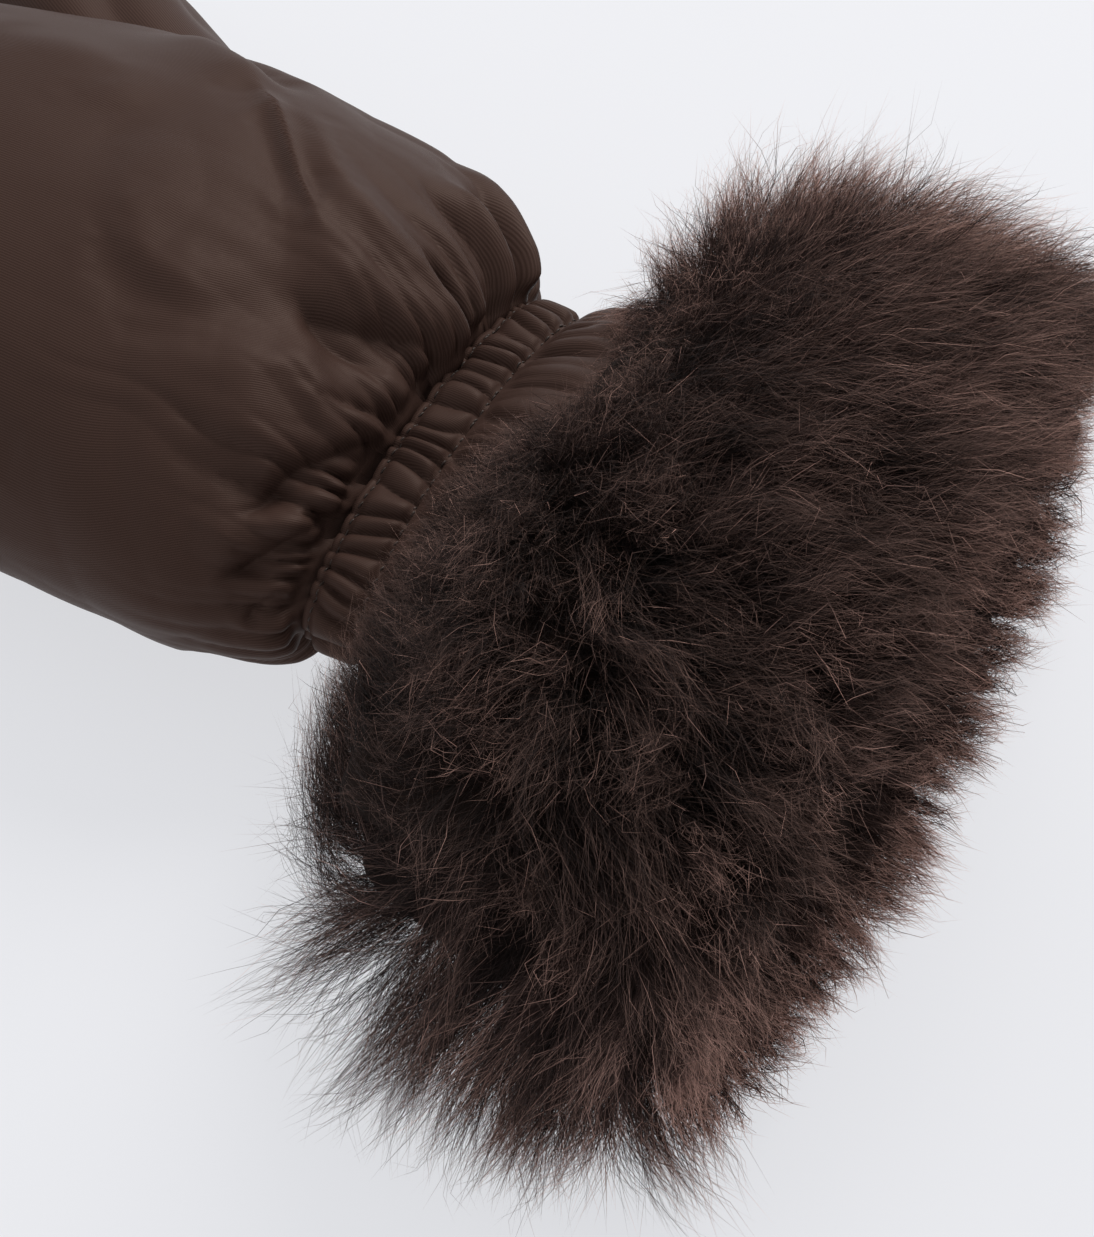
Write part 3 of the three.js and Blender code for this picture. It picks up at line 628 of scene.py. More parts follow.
def through(p, t):
    """A smooth curve through four neighbours, from the second (t is 0) to the third (1)."""
    bend = 2 * p[0] - 5 * p[1] + 4 * p[2] - p[3]
    return p[1] + 0.5 * t * (p[2] - p[0] + t * (bend + t * (3 * (p[1] - p[2]) + p[3] - p[0])))


def resampled(grid, along, count, new_along):
    """A grid of values round the tube, read at finer places by smooth curves."""
    around = np.arange(count) / count * grid.shape[1]
    i = np.floor(around).astype(int)
    neighbours = [grid[:, (i + k) % grid.shape[1]] for k in (-1, 0, 1, 2)]
    finer = through(neighbours, (around - i)[None, :, None])
    place = np.interp(new_along, along, np.arange(len(along)))
    r = np.clip(np.floor(place).astype(int), 0, len(along) - 2)
    neighbours = [finer[np.clip(r + k, 0, len(along) - 1)] for k in (-1, 0, 1, 2)]
    return through(neighbours, (place - r)[:, None, None])


print("folds may be", WRIST_PADDING - 1, "mm deep at the wrist and", PADDING - 1, "mm further on")


# %% [markdown]
# The skin of the hand is one closed surface: the outside from the wrist to the tip, and the lining back
# again inside it, so the mitten is as thick as its down and stays open for a hand. It goes through a fine
# mesh, 400 points round, because the pleats at the stitches are only four millimetres wide.

# %% The hand's skin
HAND_AROUND, HAND_ROWS = 400, 155


def lining_rows(count, along):
    """The inside, as far in as the padding is thick."""
    around = np.arange(count) / count
    padding = padding_at(along)
    x, y, z, width, height = hand_section(along[:, None], padding[:, None])
    lowest = np.maximum(z - height / 2, padding[:, None])
    highest = z + height / 2
    px, pz, _, _ = oval(around, width, highest - lowest)
    return np.stack([x + px, y + 0 * px, (lowest + highest) / 2 + pz], -1)


outer, _, along = hand_rows(HAND_AROUND, HAND_ROWS, FOLDS, True)
soft_folds = [fold for fold in FOLDS if fold[2] < 0.3]
start, normals, sim_along = hand_rows(SIM_AROUND, SIM_ROWS, soft_folds, False)
move = blown(start, normals, sim_along, TUBE_EXCESS, DOWN_PRESSURE)
outer = outer + resampled(move, sim_along, HAND_AROUND, along)
outer = pressed(outer)
inner_along = np.array([0.97, 0.9, 0.8, 0.66, 0.46, 0.3, 0.18, 0.11, 0.06, 0.03, 0.0])
inner = lining_rows(HAND_AROUND, inner_along)
# The weave runs a little aslant over the back of the hand, as the panel was cut, so its U is twisted.
CLOTH_ROUND = float(cloth_round(0.4))
places = np.concatenate([-inner_along, along])
twist = 0.07 * smooth(np.abs(places) / 0.3)[:, None]
hand_u = (np.linspace(0, 1, HAND_AROUND + 1)[None] - twist) * CLOTH_ROUND
hand = tube_mesh("hand_shell_cloth", np.concatenate([inner, outer]), hand_u, places * HAND_LENGTH)

# %% [markdown]
# ## The thumb
# The thumb is a smaller tube of the same cloth and down, sewn into the side of the hand at a slant. Its root is
# sunk inside the hand, and the seam round it is where the two skins meet.

# %% The thumb's skin
THUMB_LENGTH, THUMB_WIDTH, THUMB_HEIGHT = 76, 46, 40
THUMB_SPREAD, THUMB_FROM_WRIST, THUMB_SEAT, THUMB_ROOT = math.radians(30), 92, 12, 26
THUMB_SIZE = [(0, 0.92), (0.35, 0.98), (0.6, 1), (0.78, 0.93), (0.89, 0.76), (0.96, 0.5), (1, 0)]
THUMB_FOLDS = [
    (-1.8, 4.0, 0.3, [(0.18, 0.75), (0.24, 0.55), (0.26, 0.35)]),
    (-1.6, 3.5, 0.4, [(0.4, 0.8), (0.38, 0.6), (0.36, 0.4)]),
    (1.2, 5.0, 0.0, [(0.3, 0.85), (0.3, 0.6), (0.31, 0.35)]),
    (-1.5, 3.5, 0.3, [(0.05, 0.8), (0.08, 0.6), (0.1, 0.4)]),
]


THUMB_AROUND, THUMB_ROWS = 120, 80
THUMB_CLOTH = 120  # mm of cloth round the thumb, for the folds and the weave
THUMB_WHOLE = THUMB_LENGTH + THUMB_ROOT


def thumb_rows(count, rows):
    """Rows of points over the thumb, from the root inside the hand to the tip."""
    around = np.arange(count) / count
    along = np.linspace(0, 1, rows)[:, None] ** 0.9 * 0.995
    size = curve(THUMB_SIZE, along)
    px, pz, nx, nz = oval(around, THUMB_WIDTH * size, THUMB_HEIGHT * size)
    relief = fold_relief(around, along, THUMB_FOLDS, THUMB_WHOLE, THUMB_CLOTH)
    x, y = px + nx * relief, -THUMB_ROOT + along * THUMB_WHOLE + 0 * px
    cos, sin = math.cos(THUMB_SPREAD), math.sin(THUMB_SPREAD)
    side_x, _, _, side_width, _ = hand_section((THUMB_FROM_WRIST - HAND_START) / HAND_LENGTH)
    points = np.stack([
        x * cos + y * sin + float(side_x + side_width / 2) - THUMB_SEAT,
        -x * sin + y * cos + THUMB_FROM_WRIST,
        pz + nz * relief + (THUMB_HEIGHT - HAND_PRESSED) / 2,
    ], -1)
    return pressed(points), along[:, 0]


def even_u(count, rows, cloth):
    """A UV row in cloth millimetres round a tube, the same for all its rows."""
    return np.repeat(np.linspace(0, 1, count + 1)[None] * cloth, rows, 0)


thumb_outer, thumb_along = thumb_rows(THUMB_AROUND, THUMB_ROWS)
thumb_u = even_u(THUMB_AROUND, THUMB_ROWS, THUMB_CLOTH)
thumb = tube_mesh("thumb_shell_cloth", thumb_outer, thumb_u, thumb_along * THUMB_WHOLE)

# %% [markdown]
# ## The elastic wrist
# A band of elastic is sewn inside a channel of the same nylon, with a row of stitches along each edge. It
# shortens the cloth by half, so the channel stands up in soft ribs across it, pinched at both rows and
# never quite regular. The ribs come from one wave whose spacing wanders.

# %% Ribs of the wrist band
RIBS, RIB_HEIGHT = 46, 2.3
BAND_AROUND, BAND_ROWS = RIBS * 14, 19
BAND_OVERLAP = 1.16  # the channel runs this much past the stitch rows, under its neighbours
BAND_WALL = 3


def rib_phase(around, way):
    """The wave behind the ribs: it passes a whole number at every valley."""
    wander = 0.3 * ripple(around, 4, 14, 21)
    bend = 0.3 * ripple(around, 3, 9, 22) * way + 0.2 * ripple(around, 6, 14, 23) * way**2
    return RIBS * around + wander + bend


def band_relief(around, way):
    """way is -1 at the cuff's stitch row and 1 at the hand's."""
    rib = np.abs(np.sin(math.pi * rib_phase(around, way))) ** 0.6
    belly = 1 - 0.55 * np.abs(way) ** 3
    height = 1 + 0.22 * ripple(around, 6, 18, 25)
    return RIB_HEIGHT * (rib * height * belly - 0.6) - 0.8 * np.exp(-(((np.abs(way) - 0.9) / 0.12) ** 2))


def band_point(around, way, lift=0.0):
    """A point on the band, or over it by a lift in mm."""
    px, pz, nx, nz = oval(around, WRIST_WIDTH, WRIST_HEIGHT)
    out = band_relief(around, way) + lift
    y = way * BAND_LENGTH / 2 + 0 * around
    return np.stack([px + nx * out, y, WRIST_LIFT + pz + nz * out], -1)


around = np.arange(BAND_AROUND) / BAND_AROUND
way = np.linspace(-BAND_OVERLAP, BAND_OVERLAP, BAND_ROWS)
band_rows = np.array([band_point(around, min(max(w, -1.0), 1.0)) for w in way])
band_rows[:, :, 1] = way[:, None] * BAND_LENGTH / 2
px, pz, _, _ = oval(around, WRIST_WIDTH - 2 * BAND_WALL, WRIST_HEIGHT - 2 * BAND_WALL)
edge_y = BAND_LENGTH / 2 * BAND_OVERLAP
inside = [np.stack([px, 0 * px + y, WRIST_LIFT + pz], -1) for y in (edge_y, 0, -edge_y)]
band_all = np.concatenate([band_rows, inside, band_rows[:1]])
band_u = even_u(BAND_AROUND, len(band_all), CLOTH_ROUND)
band_v = np.concatenate([way * BAND_LENGTH / 2, [6, 8, 10, 12]])
band = tube_mesh("wrist_band_cloth", band_all, band_u, band_v, False, False)

# %% [markdown]
# ## The plain gauntlet
# Below the band the nylon runs on plain for two centimetres before the pelt starts. Soft pleats run out of
# the second stitch row and open as the tube flares, and a side seam crosses it on the thumb's side.

# %% Gauntlet sections
PLAIN_LENGTH, PLAIN_WALL, PLAIN_PUFF = 22, 2.4, 4
FUR_LENGTH, FUR_SKIN_WALL = 60, 3
MOUTH_WIDTH, MOUTH_HEIGHT, MOUTH_LIFT, MOUTH_DRIFT = 134, 62, 40, -14
PLAIN_START = -BAND_LENGTH / 2 - 0.3
FUR_START = PLAIN_START - PLAIN_LENGTH - 0.3
MOUTH = FUR_START - FUR_LENGTH
PLAIN_AROUND, PLAIN_ROWS = 400, 36
PLAIN_CLOTH = 230.0  # mm round the gauntlet where the pelt starts
PLAIN_FOLDS = [
    (-1.8, 1.6, 0.7, [(0.2, 0.8), (0.2, 0.4), (0.2, 0.0)]),
    (-2.0, 1.6, 0.7, [(0.15, 0.7), (0.152, 0.3), (0.152, 0.0)]),
    (1.3, 1.2, 0.6, [(0.112, 1.0), (0.113, 0.6), (0.113, 0.2)]),
    (-1.6, 1.6, 0.6, [(0.25, 0.9), (0.247, 0.5), (0.243, 0.0)]),
    (-1.8, 1.8, 0.6, [(0.3, 0.7), (0.298, 0.4), (0.296, 0.0)]),
    (-1.8, 1.8, 0.6, [(0.36, 0.7), (0.36, 0.4), (0.36, 0.0)]),
    (-1.8, 1.8, 0.6, [(0.43, 0.7), (0.43, 0.4), (0.43, 0.0)]),
]


def gauntlet_section(y, grow=0.0):
    """x and z of the middle, and the width and height, from the band to the mouth of the cuff."""
    way = np.maximum((PLAIN_START - y) / (PLAIN_START - MOUTH), 0)
    flare = mix(way, smooth(way), 0.35)
    width, height = mix(WRIST_WIDTH, MOUTH_WIDTH, flare), mix(WRIST_HEIGHT, MOUTH_HEIGHT, flare)
    return MOUTH_DRIFT * flare, mix(WRIST_LIFT, MOUTH_LIFT, flare), width + 2 * grow, height + 2 * grow


print("the mouth of the cuff is at", MOUTH, "mm and", MOUTH_WIDTH, "mm across")


# %% Gauntlet skin
def section_ring(around, y, grow):
    """Plain points round the gauntlet or the cuff, further out or in by some mm."""
    x, z, width, height = gauntlet_section(y, grow)
    px, pz, _, _ = oval(around, width, height)
    return np.stack([x + px, y + 0 * px, z + pz], -1)


def plain_rows(count, rows):
    """Rows of points over the gauntlet's outside, with their places along it."""
    around = np.arange(count) / count
    way = np.linspace(0, 1, rows)[:, None]
    y = PLAIN_START + 0.6 - way * (PLAIN_LENGTH + 1.5)
    x, z, width, height = gauntlet_section(y, PLAIN_PUFF * np.sin(math.pi * np.clip(way, 0, 1)) * 0.9)
    px, pz, nx, nz = oval(around, width, height)
    distance = way * PLAIN_LENGTH
    relief = 0.6 * gathers(around, distance, 13) * smooth(distance / 4)
    relief += fold_relief(around, way, PLAIN_FOLDS, PLAIN_LENGTH, PLAIN_CLOTH) * smooth(distance / 3)
    relief -= 0.9 * np.exp(-((distance / 1.5) ** 2))
    return np.stack([x + px + nx * relief, y + 0 * px, z + pz + nz * relief], -1), way[:, 0]


plain_outer, plain_way = plain_rows(PLAIN_AROUND, PLAIN_ROWS)
around = np.arange(PLAIN_AROUND) / PLAIN_AROUND
inner_y = np.linspace(FUR_START - 0.6, PLAIN_START + 0.6, 6)
plain_inner = [section_ring(around, y, -PLAIN_WALL) for y in inner_y]
plain_all = np.concatenate([plain_outer, plain_inner, plain_outer[:1]])
plain_u = even_u(PLAIN_AROUND, len(plain_all), CLOTH_ROUND)
plain_v = np.concatenate([-plain_way * PLAIN_LENGTH - 6, -np.linspace(29, 60, 7)])
plain = tube_mesh("cuff_band_cloth", plain_all, plain_u, plain_v, False, False)

# %% [markdown]
# ## The stitch rows
# Two rows of lock stitches hold the elastic. Each stitch is a short thread that dips into the cloth at
# both ends, and it lies in the pinched line between the ribs and the cloth beside them.

# %% Stitches
STITCH_PITCH, THREAD = 2.0, 0.34
WRIST_ROUND = 206  # mm round the band over its ribs
STITCH_SIDES, STITCH_RINGS = 6, 5
SEAM_WAY = 0.9  # where the two rows lie, as a share of half the band's length


def stitch_row(way, seed):
    """The rings of every stitch of one row: (stitches, rings, sides, 3)."""
    spread = np.random.default_rng(seed)
    count = int(WRIST_ROUND / STITCH_PITCH)
    middles = (np.arange(count) + 0.25 * spread.uniform(-1, 1, count)) / count
    t = np.linspace(-1, 1, STITCH_RINGS)
    around = middles[:, None] + t * 0.4 / count
    wobble = way + spread.uniform(-0.03, 0.03, (count, 1)) + t * spread.uniform(0.01, 0.06, (count, 1))
    lift = 0.28 - 0.5 * t**2
    centre = band_point(around, wobble, lift)
    size = THREAD / 2 * (1 - 0.45 * t**4)
    ahead = unit(np.gradient(centre, axis=1))
    side = unit(np.cross(ahead, [0, 1, 0]))
    other = np.cross(ahead, side)
    angle = TURN * np.arange(STITCH_SIDES) / STITCH_SIDES
    ring = side[:, :, None] * np.cos(angle)[:, None] + other[:, :, None] * np.sin(angle)[:, None]
    return centre[:, :, None] + ring * size[:, None, None]


def joined_stitches(name, rows):
    """All the stitches as one piece, each a short closed thread."""
    rings = np.concatenate(rows)
    count = len(rings)
    per = STITCH_RINGS * STITCH_SIDES
    k = np.arange(STITCH_SIDES)
    nxt = (k + 1) % STITCH_SIDES
    quads = np.concatenate([
        np.stack([r * STITCH_SIDES + k, r * STITCH_SIDES + nxt, (r + 1) * STITCH_SIDES + nxt,
                  (r + 1) * STITCH_SIDES + k], 1) for r in range(STITCH_RINGS - 1)
    ])
    first, last = k[::-1], (STITCH_RINGS - 1) * STITCH_SIDES + k
    start = (np.arange(count) * per)[:, None, None]
    faces = (quads[None] + start).reshape(-1, 4).tolist()
    faces += (first[None] + start[:, 0]).tolist() + (last[None] + start[:, 0]).tolist()
    mesh = bpy.data.meshes.new(name)
    mesh.from_pydata(((rings.reshape(-1, 3) + WRIST) / 1000).tolist(), [], faces)
    mesh.polygons.foreach_set("use_smooth", np.ones(len(mesh.polygons), bool))
    made = bpy.data.objects.new(name, mesh)
    bpy.context.scene.collection.objects.link(made)
    if signed_volume(mesh) < 0:
        mesh.flip_normals()
    print(name, count, "stitches,", len(mesh.polygons), "faces")
    return made


stitches = joined_stitches("wrist_stitches", [stitch_row(SEAM_WAY, 31), stitch_row(-SEAM_WAY, 32)])

# %% [markdown]
# ## The pelt
# Under the hair is a thick mat of underwool on a skin. It is modelled as one soft ring that fills the spaces
# between the locks: its outside follows the dense fur, its inside is the lining of the cuff. Its nearly black
# colour is painted shade, the shade that lies deep between the locks.

# %% The underwool
HAIR_DEPTH, HAIR_SIDE_SPREAD, HAIR_SURFACE_SPREAD = 23, 7, 17
FUR_DEPTH = [(0, 0.6), (0.14, 0.88), (0.4, 1), (0.68, 1), (0.88, 0.9), (1, 0.62)]
FUR_SWEEP = [(0, -0.6), (0.14, -0.5), (0.4, -0.08), (0.68, 0.2), (0.88, 0.5), (1, 0.75)]
PELT_AROUND = 220
WOOL_SHARE = 0.62  # how far out the underwool reaches in the dense fur


def lean_at(nx, lean):
    """Hair leans back on the side the cuff falls to, and out over the mouth less at the sides."""
    return lean * np.where(lean < 0, np.maximum(0.55 - nx, 0), 1 - nx**2 / 2)


def fur_point(around, along, share):
    """A point over the skin at a share of the dense fur's depth, with the skin's normal."""
    x, z, width, height = gauntlet_section(FUR_START - along * FUR_LENGTH)
    px, pz, nx, nz = oval(around, width, height)
    depth = share * curve(FUR_DEPTH, along) * (HAIR_DEPTH + HAIR_SIDE_SPREAD * nx**2)
    beside = smooth(-1.6 * nz) * np.sign(nx) * np.sqrt(np.abs(nx))
    spread = share * HAIR_SURFACE_SPREAD * beside * (1 - 0.6 * along)
    y = FUR_START - along * FUR_LENGTH - depth * lean_at(nx, curve(FUR_SWEEP, along))
    return np.stack([x + px + nx * depth + spread, y, z + pz + nz * depth], -1), nx, nz


def pelt_rows(count):
    """The lining of the cuff from the mouth in, then the underwool over it back to the mouth."""
    around = np.arange(count) / count
    rows = [section_ring(around, y, -FUR_SKIN_WALL) for y in np.linspace(MOUTH, FUR_START, 10)]
    for along in np.linspace(0, 1, 44):
        lumps = 0.06 * ripple(around + 0.05 * along, 9, 24, 41)
        lumps = lumps + 0.05 * ripple(around + 0.1 * along, 20, 40, 42)
        point, _, _ = fur_point(around, along, WOOL_SHARE + lumps * np.sin(math.pi * (0.15 + 0.85 * along)))
        # The wool ends in tufts at the mouth, so no straight edge shows through the hair.
        point[:, 1] += 2.6 * along**8 * ripple(around, 14, 40, 43)
        rows.append(point)
    rows.append(rows[0])
    return pressed(np.array(rows), 0.2)


pelt_points = pelt_rows(PELT_AROUND)
pelt_u = even_u(PELT_AROUND, len(pelt_points), 1.0)
pelt = tube_mesh("fur_underwool", pelt_points, pelt_u, np.linspace(0, 1, len(pelt_points)), False, False)

# %% [markdown]
# ## The long hair
# The hair is fine, woolly and slightly curled. It hangs together twice over: a few hairs make a wisp, and
# the wisps of a fingertip's breadth of pelt lean together into a lock. It is made of thin tapering ribbons,
# worked out as arrays and joined, because nobody could lay so many hairs by hand. Each wisp
# starts on the pelt, rises off it, and bends to the place where its lock comes together. At the wrist end
# the hair lies back over the plain gauntlet, over the top it stands, at the mouth it points out, and at
# the sides it hangs to the table. A ribbon's UV map holds its shade and the place from root to tip.

# %% How the hair lies
# Three tables go along the pelt, from its wrist end (0) to the mouth (1); below 0 the hair grows over the
# gauntlet. LEAN is how far a hair leans to the mouth for each millimetre that it rises, SIZE is its share
# of the full length, and ROOT_DEPTH is how far out in the dense fur it is first seen.
LEAN = [(-0.3, -2.2), (-0.1, -1.5), (0, -0.9), (0.13, -0.3), (0.3, 0.15), (0.5, 0.45), (0.72, 0.75),
        (0.9, 1.05), (1, 1.5)]
SIZE = [(-0.3, 0.2), (-0.15, 0.26), (0, 0.45), (0.13, 0.8), (0.3, 0.98), (0.5, 0.93), (0.72, 0.82),
        (0.9, 0.7), (1, 0.5)]
ROOT_DEPTH = [(-0.3, 0.02), (0, 0.3), (0.13, 0.5), (0.9, 0.52), (1, 0.3)]
# How much of the lean back is left, by the normal's x.
LEAN_SIDE = [(-1, 1.3), (0, 0.6), (0.6, 0.6), (1, 1.4)]
# Three more go round it. No hair reaches nearer to the band than REACH, a y in mm. HAIRLINE is where the
# hair starts: it comes up to the stitches on the little-finger side. RISE is how fast its height may grow.
REACH = [(0, -2), (0.07, -7), (0.14, -20), (0.2, -24), (0.25, -18), (0.3, -8), (0.42, -6), (0.48, -5),
         (0.54, 2), (0.6, 6), (0.75, 0), (0.9, -4), (1, -2)]
HAIRLINE = [(0, -0.1), (0.1, -0.05), (0.2, 0), (0.25, -0.08), (0.3, -0.2), (0.42, -0.23), (0.5, -0.22),
            (0.6, -0.05), (0.7, 0), (1, -0.1)]
RISE = [(0, 8), (0.07, 6), (0.15, 1.3), (0.2, 1.1), (0.46, 1.1), (0.53, 4), (0.58, 30), (0.9, 30), (1, 8)]
HAIR_LENGTH = 33.0  # mm
FALL_BACK = 0.95  # the lean back to the hand on the little-finger side
LOW_HAIR = 1.5  # mm of height at the hairline
UNDER_SIDES = -0.8  # no hair grows where the cuff is pressed on the table


def laid(points, around, limit):
    """Near the band the hair lies low: its height over the cloth may rise only slowly from the hairline."""
    skin, _, _ = fur_point(around, (FUR_START - points[:, 1]) / FUR_LENGTH, 0)
    off = points - skin
    height = np.linalg.norm(off, axis=-1, keepdims=True)
    allowed = LOW_HAIR + (curve(RISE, around) * np.maximum(limit - points[:, 1], 0))[:, None]
    return skin + off * np.minimum(1, allowed / np.maximum(height, 1e-9))


def growth(around, along, depth_share):
    """Where a hair starts and ends when nothing turns it, and the way it sets out."""
    root, nx, nz = fur_point(around, along, depth_share)
    side = nx**2
    lean = curve(LEAN, along)
    lean = lean * np.where(lean < 0, curve(LEAN_SIDE, nx), 1 - side / 2)
    # On the little-finger side all the hair falls back towards the hand.
    lean = lean - FALL_BACK * np.maximum(-nx, 0) ** 2 * (1 - 0.8 * np.clip(along, 0, 1))
    out = unit(np.stack([nx, -lean, np.maximum(nz, mix(-0.1, 0.15, along**8)) - 0.2 * side], -1))
    fall = unit(np.stack([0.4 * nx, -lean, -0.7 * side - 0.1], -1))
    size = curve(SIZE, along) * (1 - 0.3 * side * np.clip(along, 0, 1) + 0.16 * side)
    size = size * (1 - 0.25 * np.maximum(nx, 0) * np.clip(along, 0, 1))
    # The rim that lies on the table is trimmed shorter, and so is the far corner of the mouth.
    rim = smooth((along - 0.75) / 0.25)
    size = size * (1 - 0.42 * rim * smooth(0.3 - 1.5 * nz)) * (1 - 0.3 * rim * np.maximum(nx, 0))
    length = (HAIR_LENGTH * size)[..., None]
    return root, root + length * (0.92 * out + 0.38 * fall), out, length, nx, nz


_, _, _, lengths, _, _ = growth(np.array([0.25]), np.array([0.3]), 0.5)
print("hair on top of the cuff is", round(float(lengths[0, 0]), 1), "mm long")

# %% [markdown]
# Fur never lies evenly: the hairs of half a square centimetre lean on each other and make a lock with one
# tip. The locks are laid out first, on an uneven grid over the pelt, each turned its own way and a shade
# lighter or darker, and later every wisp looks for its nearest lock.

# %% Locks
LOCKS_ROUND, LOCKS_ALONG = 40, 11
LOCK_UNEVEN = 0.38  # of a cell of the grid
LOCK_TURN, LOCK_SHADE = 0.46, 0.09
PELT_ROUND = 330  # mm round the cuff in its hair
spread = np.random.default_rng(51)
cell_a, cell_b = np.meshgrid(np.arange(LOCKS_ROUND), np.arange(LOCKS_ALONG))
uneven_a = spread.uniform(-LOCK_UNEVEN, LOCK_UNEVEN, cell_a.shape)
uneven_b = spread.uniform(-LOCK_UNEVEN, LOCK_UNEVEN, cell_b.shape)
lock_around = ((cell_a + 0.5 * (cell_b % 2) + uneven_a) / LOCKS_ROUND).ravel() % 1
lock_along = ((cell_b + 0.5 + uneven_b) / LOCKS_ALONG * 1.2 - 0.2).ravel()
lock_root, lock_tip, lock_out, lock_length, lock_nx, lock_nz = growth(lock_around, lock_along, 0.5)
lock_round = np.stack([-lock_nz, 0 * lock_nz, lock_nx], -1)
lock_turn = spread.normal(size=(2, len(lock_around), 1)) * LOCK_TURN
lock_tip = lock_tip + lock_length * (lock_turn[0] * lock_round + lock_turn[1] * np.array([0, 1, 0]))
lock_tip = lock_tip + lock_length * 0.12 * spread.normal(size=lock_length.shape) * lock_out
lock_shade = LOCK_SHADE * spread.normal(size=len(lock_around))
print(len(lock_around), "locks")


def nearest_lock(around, along):
    """Which lock each wisp belongs to."""
    off = around[:, None] - lock_around
    off = (off - np.round(off)) * PELT_ROUND
    return np.argmin(off**2 + ((along[:, None] - lock_along) * FUR_LENGTH) ** 2, 1)


# %% [markdown]
# A wisp is a dozen hairs that grow from one place. It gets three points: its root on the pelt, a middle
# that stands straight out, and a tip drawn part of the way to its lock's tip. Each hair then follows the
# curve through them a little beside it, with its own length and its own slow curl, and one in eight strays.

# %% Wisps
UNEVEN_TIP, UNEVEN_MIDDLE = 0.14, 0.12  # how unevenly wisps lie, as a share of their length
MIDDLE_HEIGHT = 0.55
RIM = 0.93  # past this the hair grows from the rim of the mouth, at any depth


def wisp_lines(wisps, reach, length, deep, closing, spread):
    """The root, middle and tip of each wisp, with what else its hairs need to know."""
    around, along = spread.uniform(0, 1, wisps * 3), np.minimum(spread.uniform(*reach, wisps * 3), 1)
    _, nx, nz = fur_point(around, along, 0.5)
    grows = ((nz > UNDER_SIDES) | (along > 0.9)) & (along > curve(HAIRLINE, around))
    keep = np.flatnonzero(grows)[:wisps]
    around, along = around[keep], along[keep]
    depth = np.clip(curve(ROOT_DEPTH, along) + deep, 0, 1) * spread.uniform(0.75, 1.2, len(keep))
    depth = np.where(along > RIM, spread.uniform(0.0, 0.7, len(keep)), depth)
    root, tip, out, reach_mm, nx, nz = growth(around, along, depth)
    home = nearest_lock(around, along)
    tip = root + (tip - root) * length
    lock_end = lock_root[home] + (lock_tip[home] - lock_root[home]) * length
    tip = tip * (1 - closing) + lock_end * closing
    tip = tip + reach_mm * UNEVEN_TIP * spread.normal(size=tip.shape)
    middle = root + out * reach_mm * length * MIDDLE_HEIGHT
    limit = curve(REACH, around) + 1.6 * spread.normal(size=len(keep))
    tip[:, 1], middle[:, 1] = np.minimum(tip[:, 1], limit), np.minimum(middle[:, 1], limit - 1)
    middle = middle + reach_mm * UNEVEN_MIDDLE * spread.normal(size=tip.shape)
    return root, laid(middle, around, limit), laid(tip, around, limit), reach_mm, along, home, nx, nz


print("wisp tips vary by", UNEVEN_TIP, "of their length")

# %% Hairs of a wisp
WISP_RADIUS, WISP_CLOSING = 1.5, 0.8  # mm at the root, and the share of it gone at the tip
STRAYS, STRAY_WIDTH = 0.12, 3.4  # the share of hairs that stray, and how far in mm
CURL = 1.0  # mm
SIDE_LIMIT, TOP_LIMIT = -117, 100  # mm, in x and z


def hair_lines(root, middle, tip, reach_mm, nx, nz, hairs, steps, wild, spread):
    """The points of every hair, from root to tip."""
    shape = (len(root), hairs)
    round_way = np.stack([-nz, 0 * nz, nx], -1)[:, None]
    radius, angle = WISP_RADIUS * np.sqrt(spread.uniform(0, 1, shape)), spread.uniform(0, TURN, shape)
    beside = round_way * (radius * np.cos(angle))[..., None]
    beside[..., 1] += radius * np.sin(angle)
    stray = spread.uniform(0, 1, shape + (1,)) < STRAYS
    loose = spread.normal(size=shape + (3,)) * np.where(stray, STRAY_WIDTH, wild)
    loose = loose * np.minimum(reach_mm, 22)[:, None] / 22  # short hair strays less
    part = spread.uniform(0.62, 1.0, shape + (1,))
    curl_a, curl_b = spread.normal(size=(2,) + shape + (3,)) * CURL
    phase, rate = spread.uniform(0, 1, shape + (1,)), spread.uniform(0.7, 2.2, shape + (1,))
    places = []
    for t in steps * 1.0:
        way = t * part
        bend = (1 - way) ** 2 * root[:, None] + 2 * way * (1 - way) * middle[:, None] + way**2 * tip[:, None]
        wave = curl_a * np.sin(TURN * (rate * t + phase)) + curl_b * np.cos(TURN * (rate * t + phase))
        places.append(bend + beside * (1 - WISP_CLOSING * t) + loose * t**1.6 + wave * (0.3 + t))
    places = np.stack(places, 2).reshape(-1, len(steps), 3)
    # A stray that stands too far out is drawn in, so that the fur keeps the size it has in the photograph.
    x, z = places[..., 0], places[..., 2]
    places[..., 0] = np.where(x < SIDE_LIMIT, SIDE_LIMIT + 0.4 * (x - SIDE_LIMIT), x)
    places[..., 2] = np.where(z > TOP_LIMIT, TOP_LIMIT + 0.5 * (z - TOP_LIMIT), z)
    lowest = spread.uniform(0.2, 4.0, (len(places), 1))
    places[..., 2] = np.maximum(places[..., 2], lowest)
    return places


print("one hair in", round(1 / STRAYS), "strays")

# %% [markdown]
# Dyed fur isn't one brown: each lock, wisp and hair differs a little from the next, and a few hairs took no
# dye. On top of that, light is painted into the shade. Where the hair stands alone round the edge of the cuff
# and light comes through it, on the far side where the lamp falls, and at the tips at the mouth, the hair is
# painted paler. The shade is worked out here, and the material reads it from the UV map.

# %% Shades of the hair, with painted light at the edges
# The second value is painted light: how much paler the hair at the cuff's edges is painted.
MIDDLE_SHADE, EDGE_PAINTED_LIGHT = 0.385, 0.36
UNDYED, UNDYED_SHADE = 0.02, 0.98


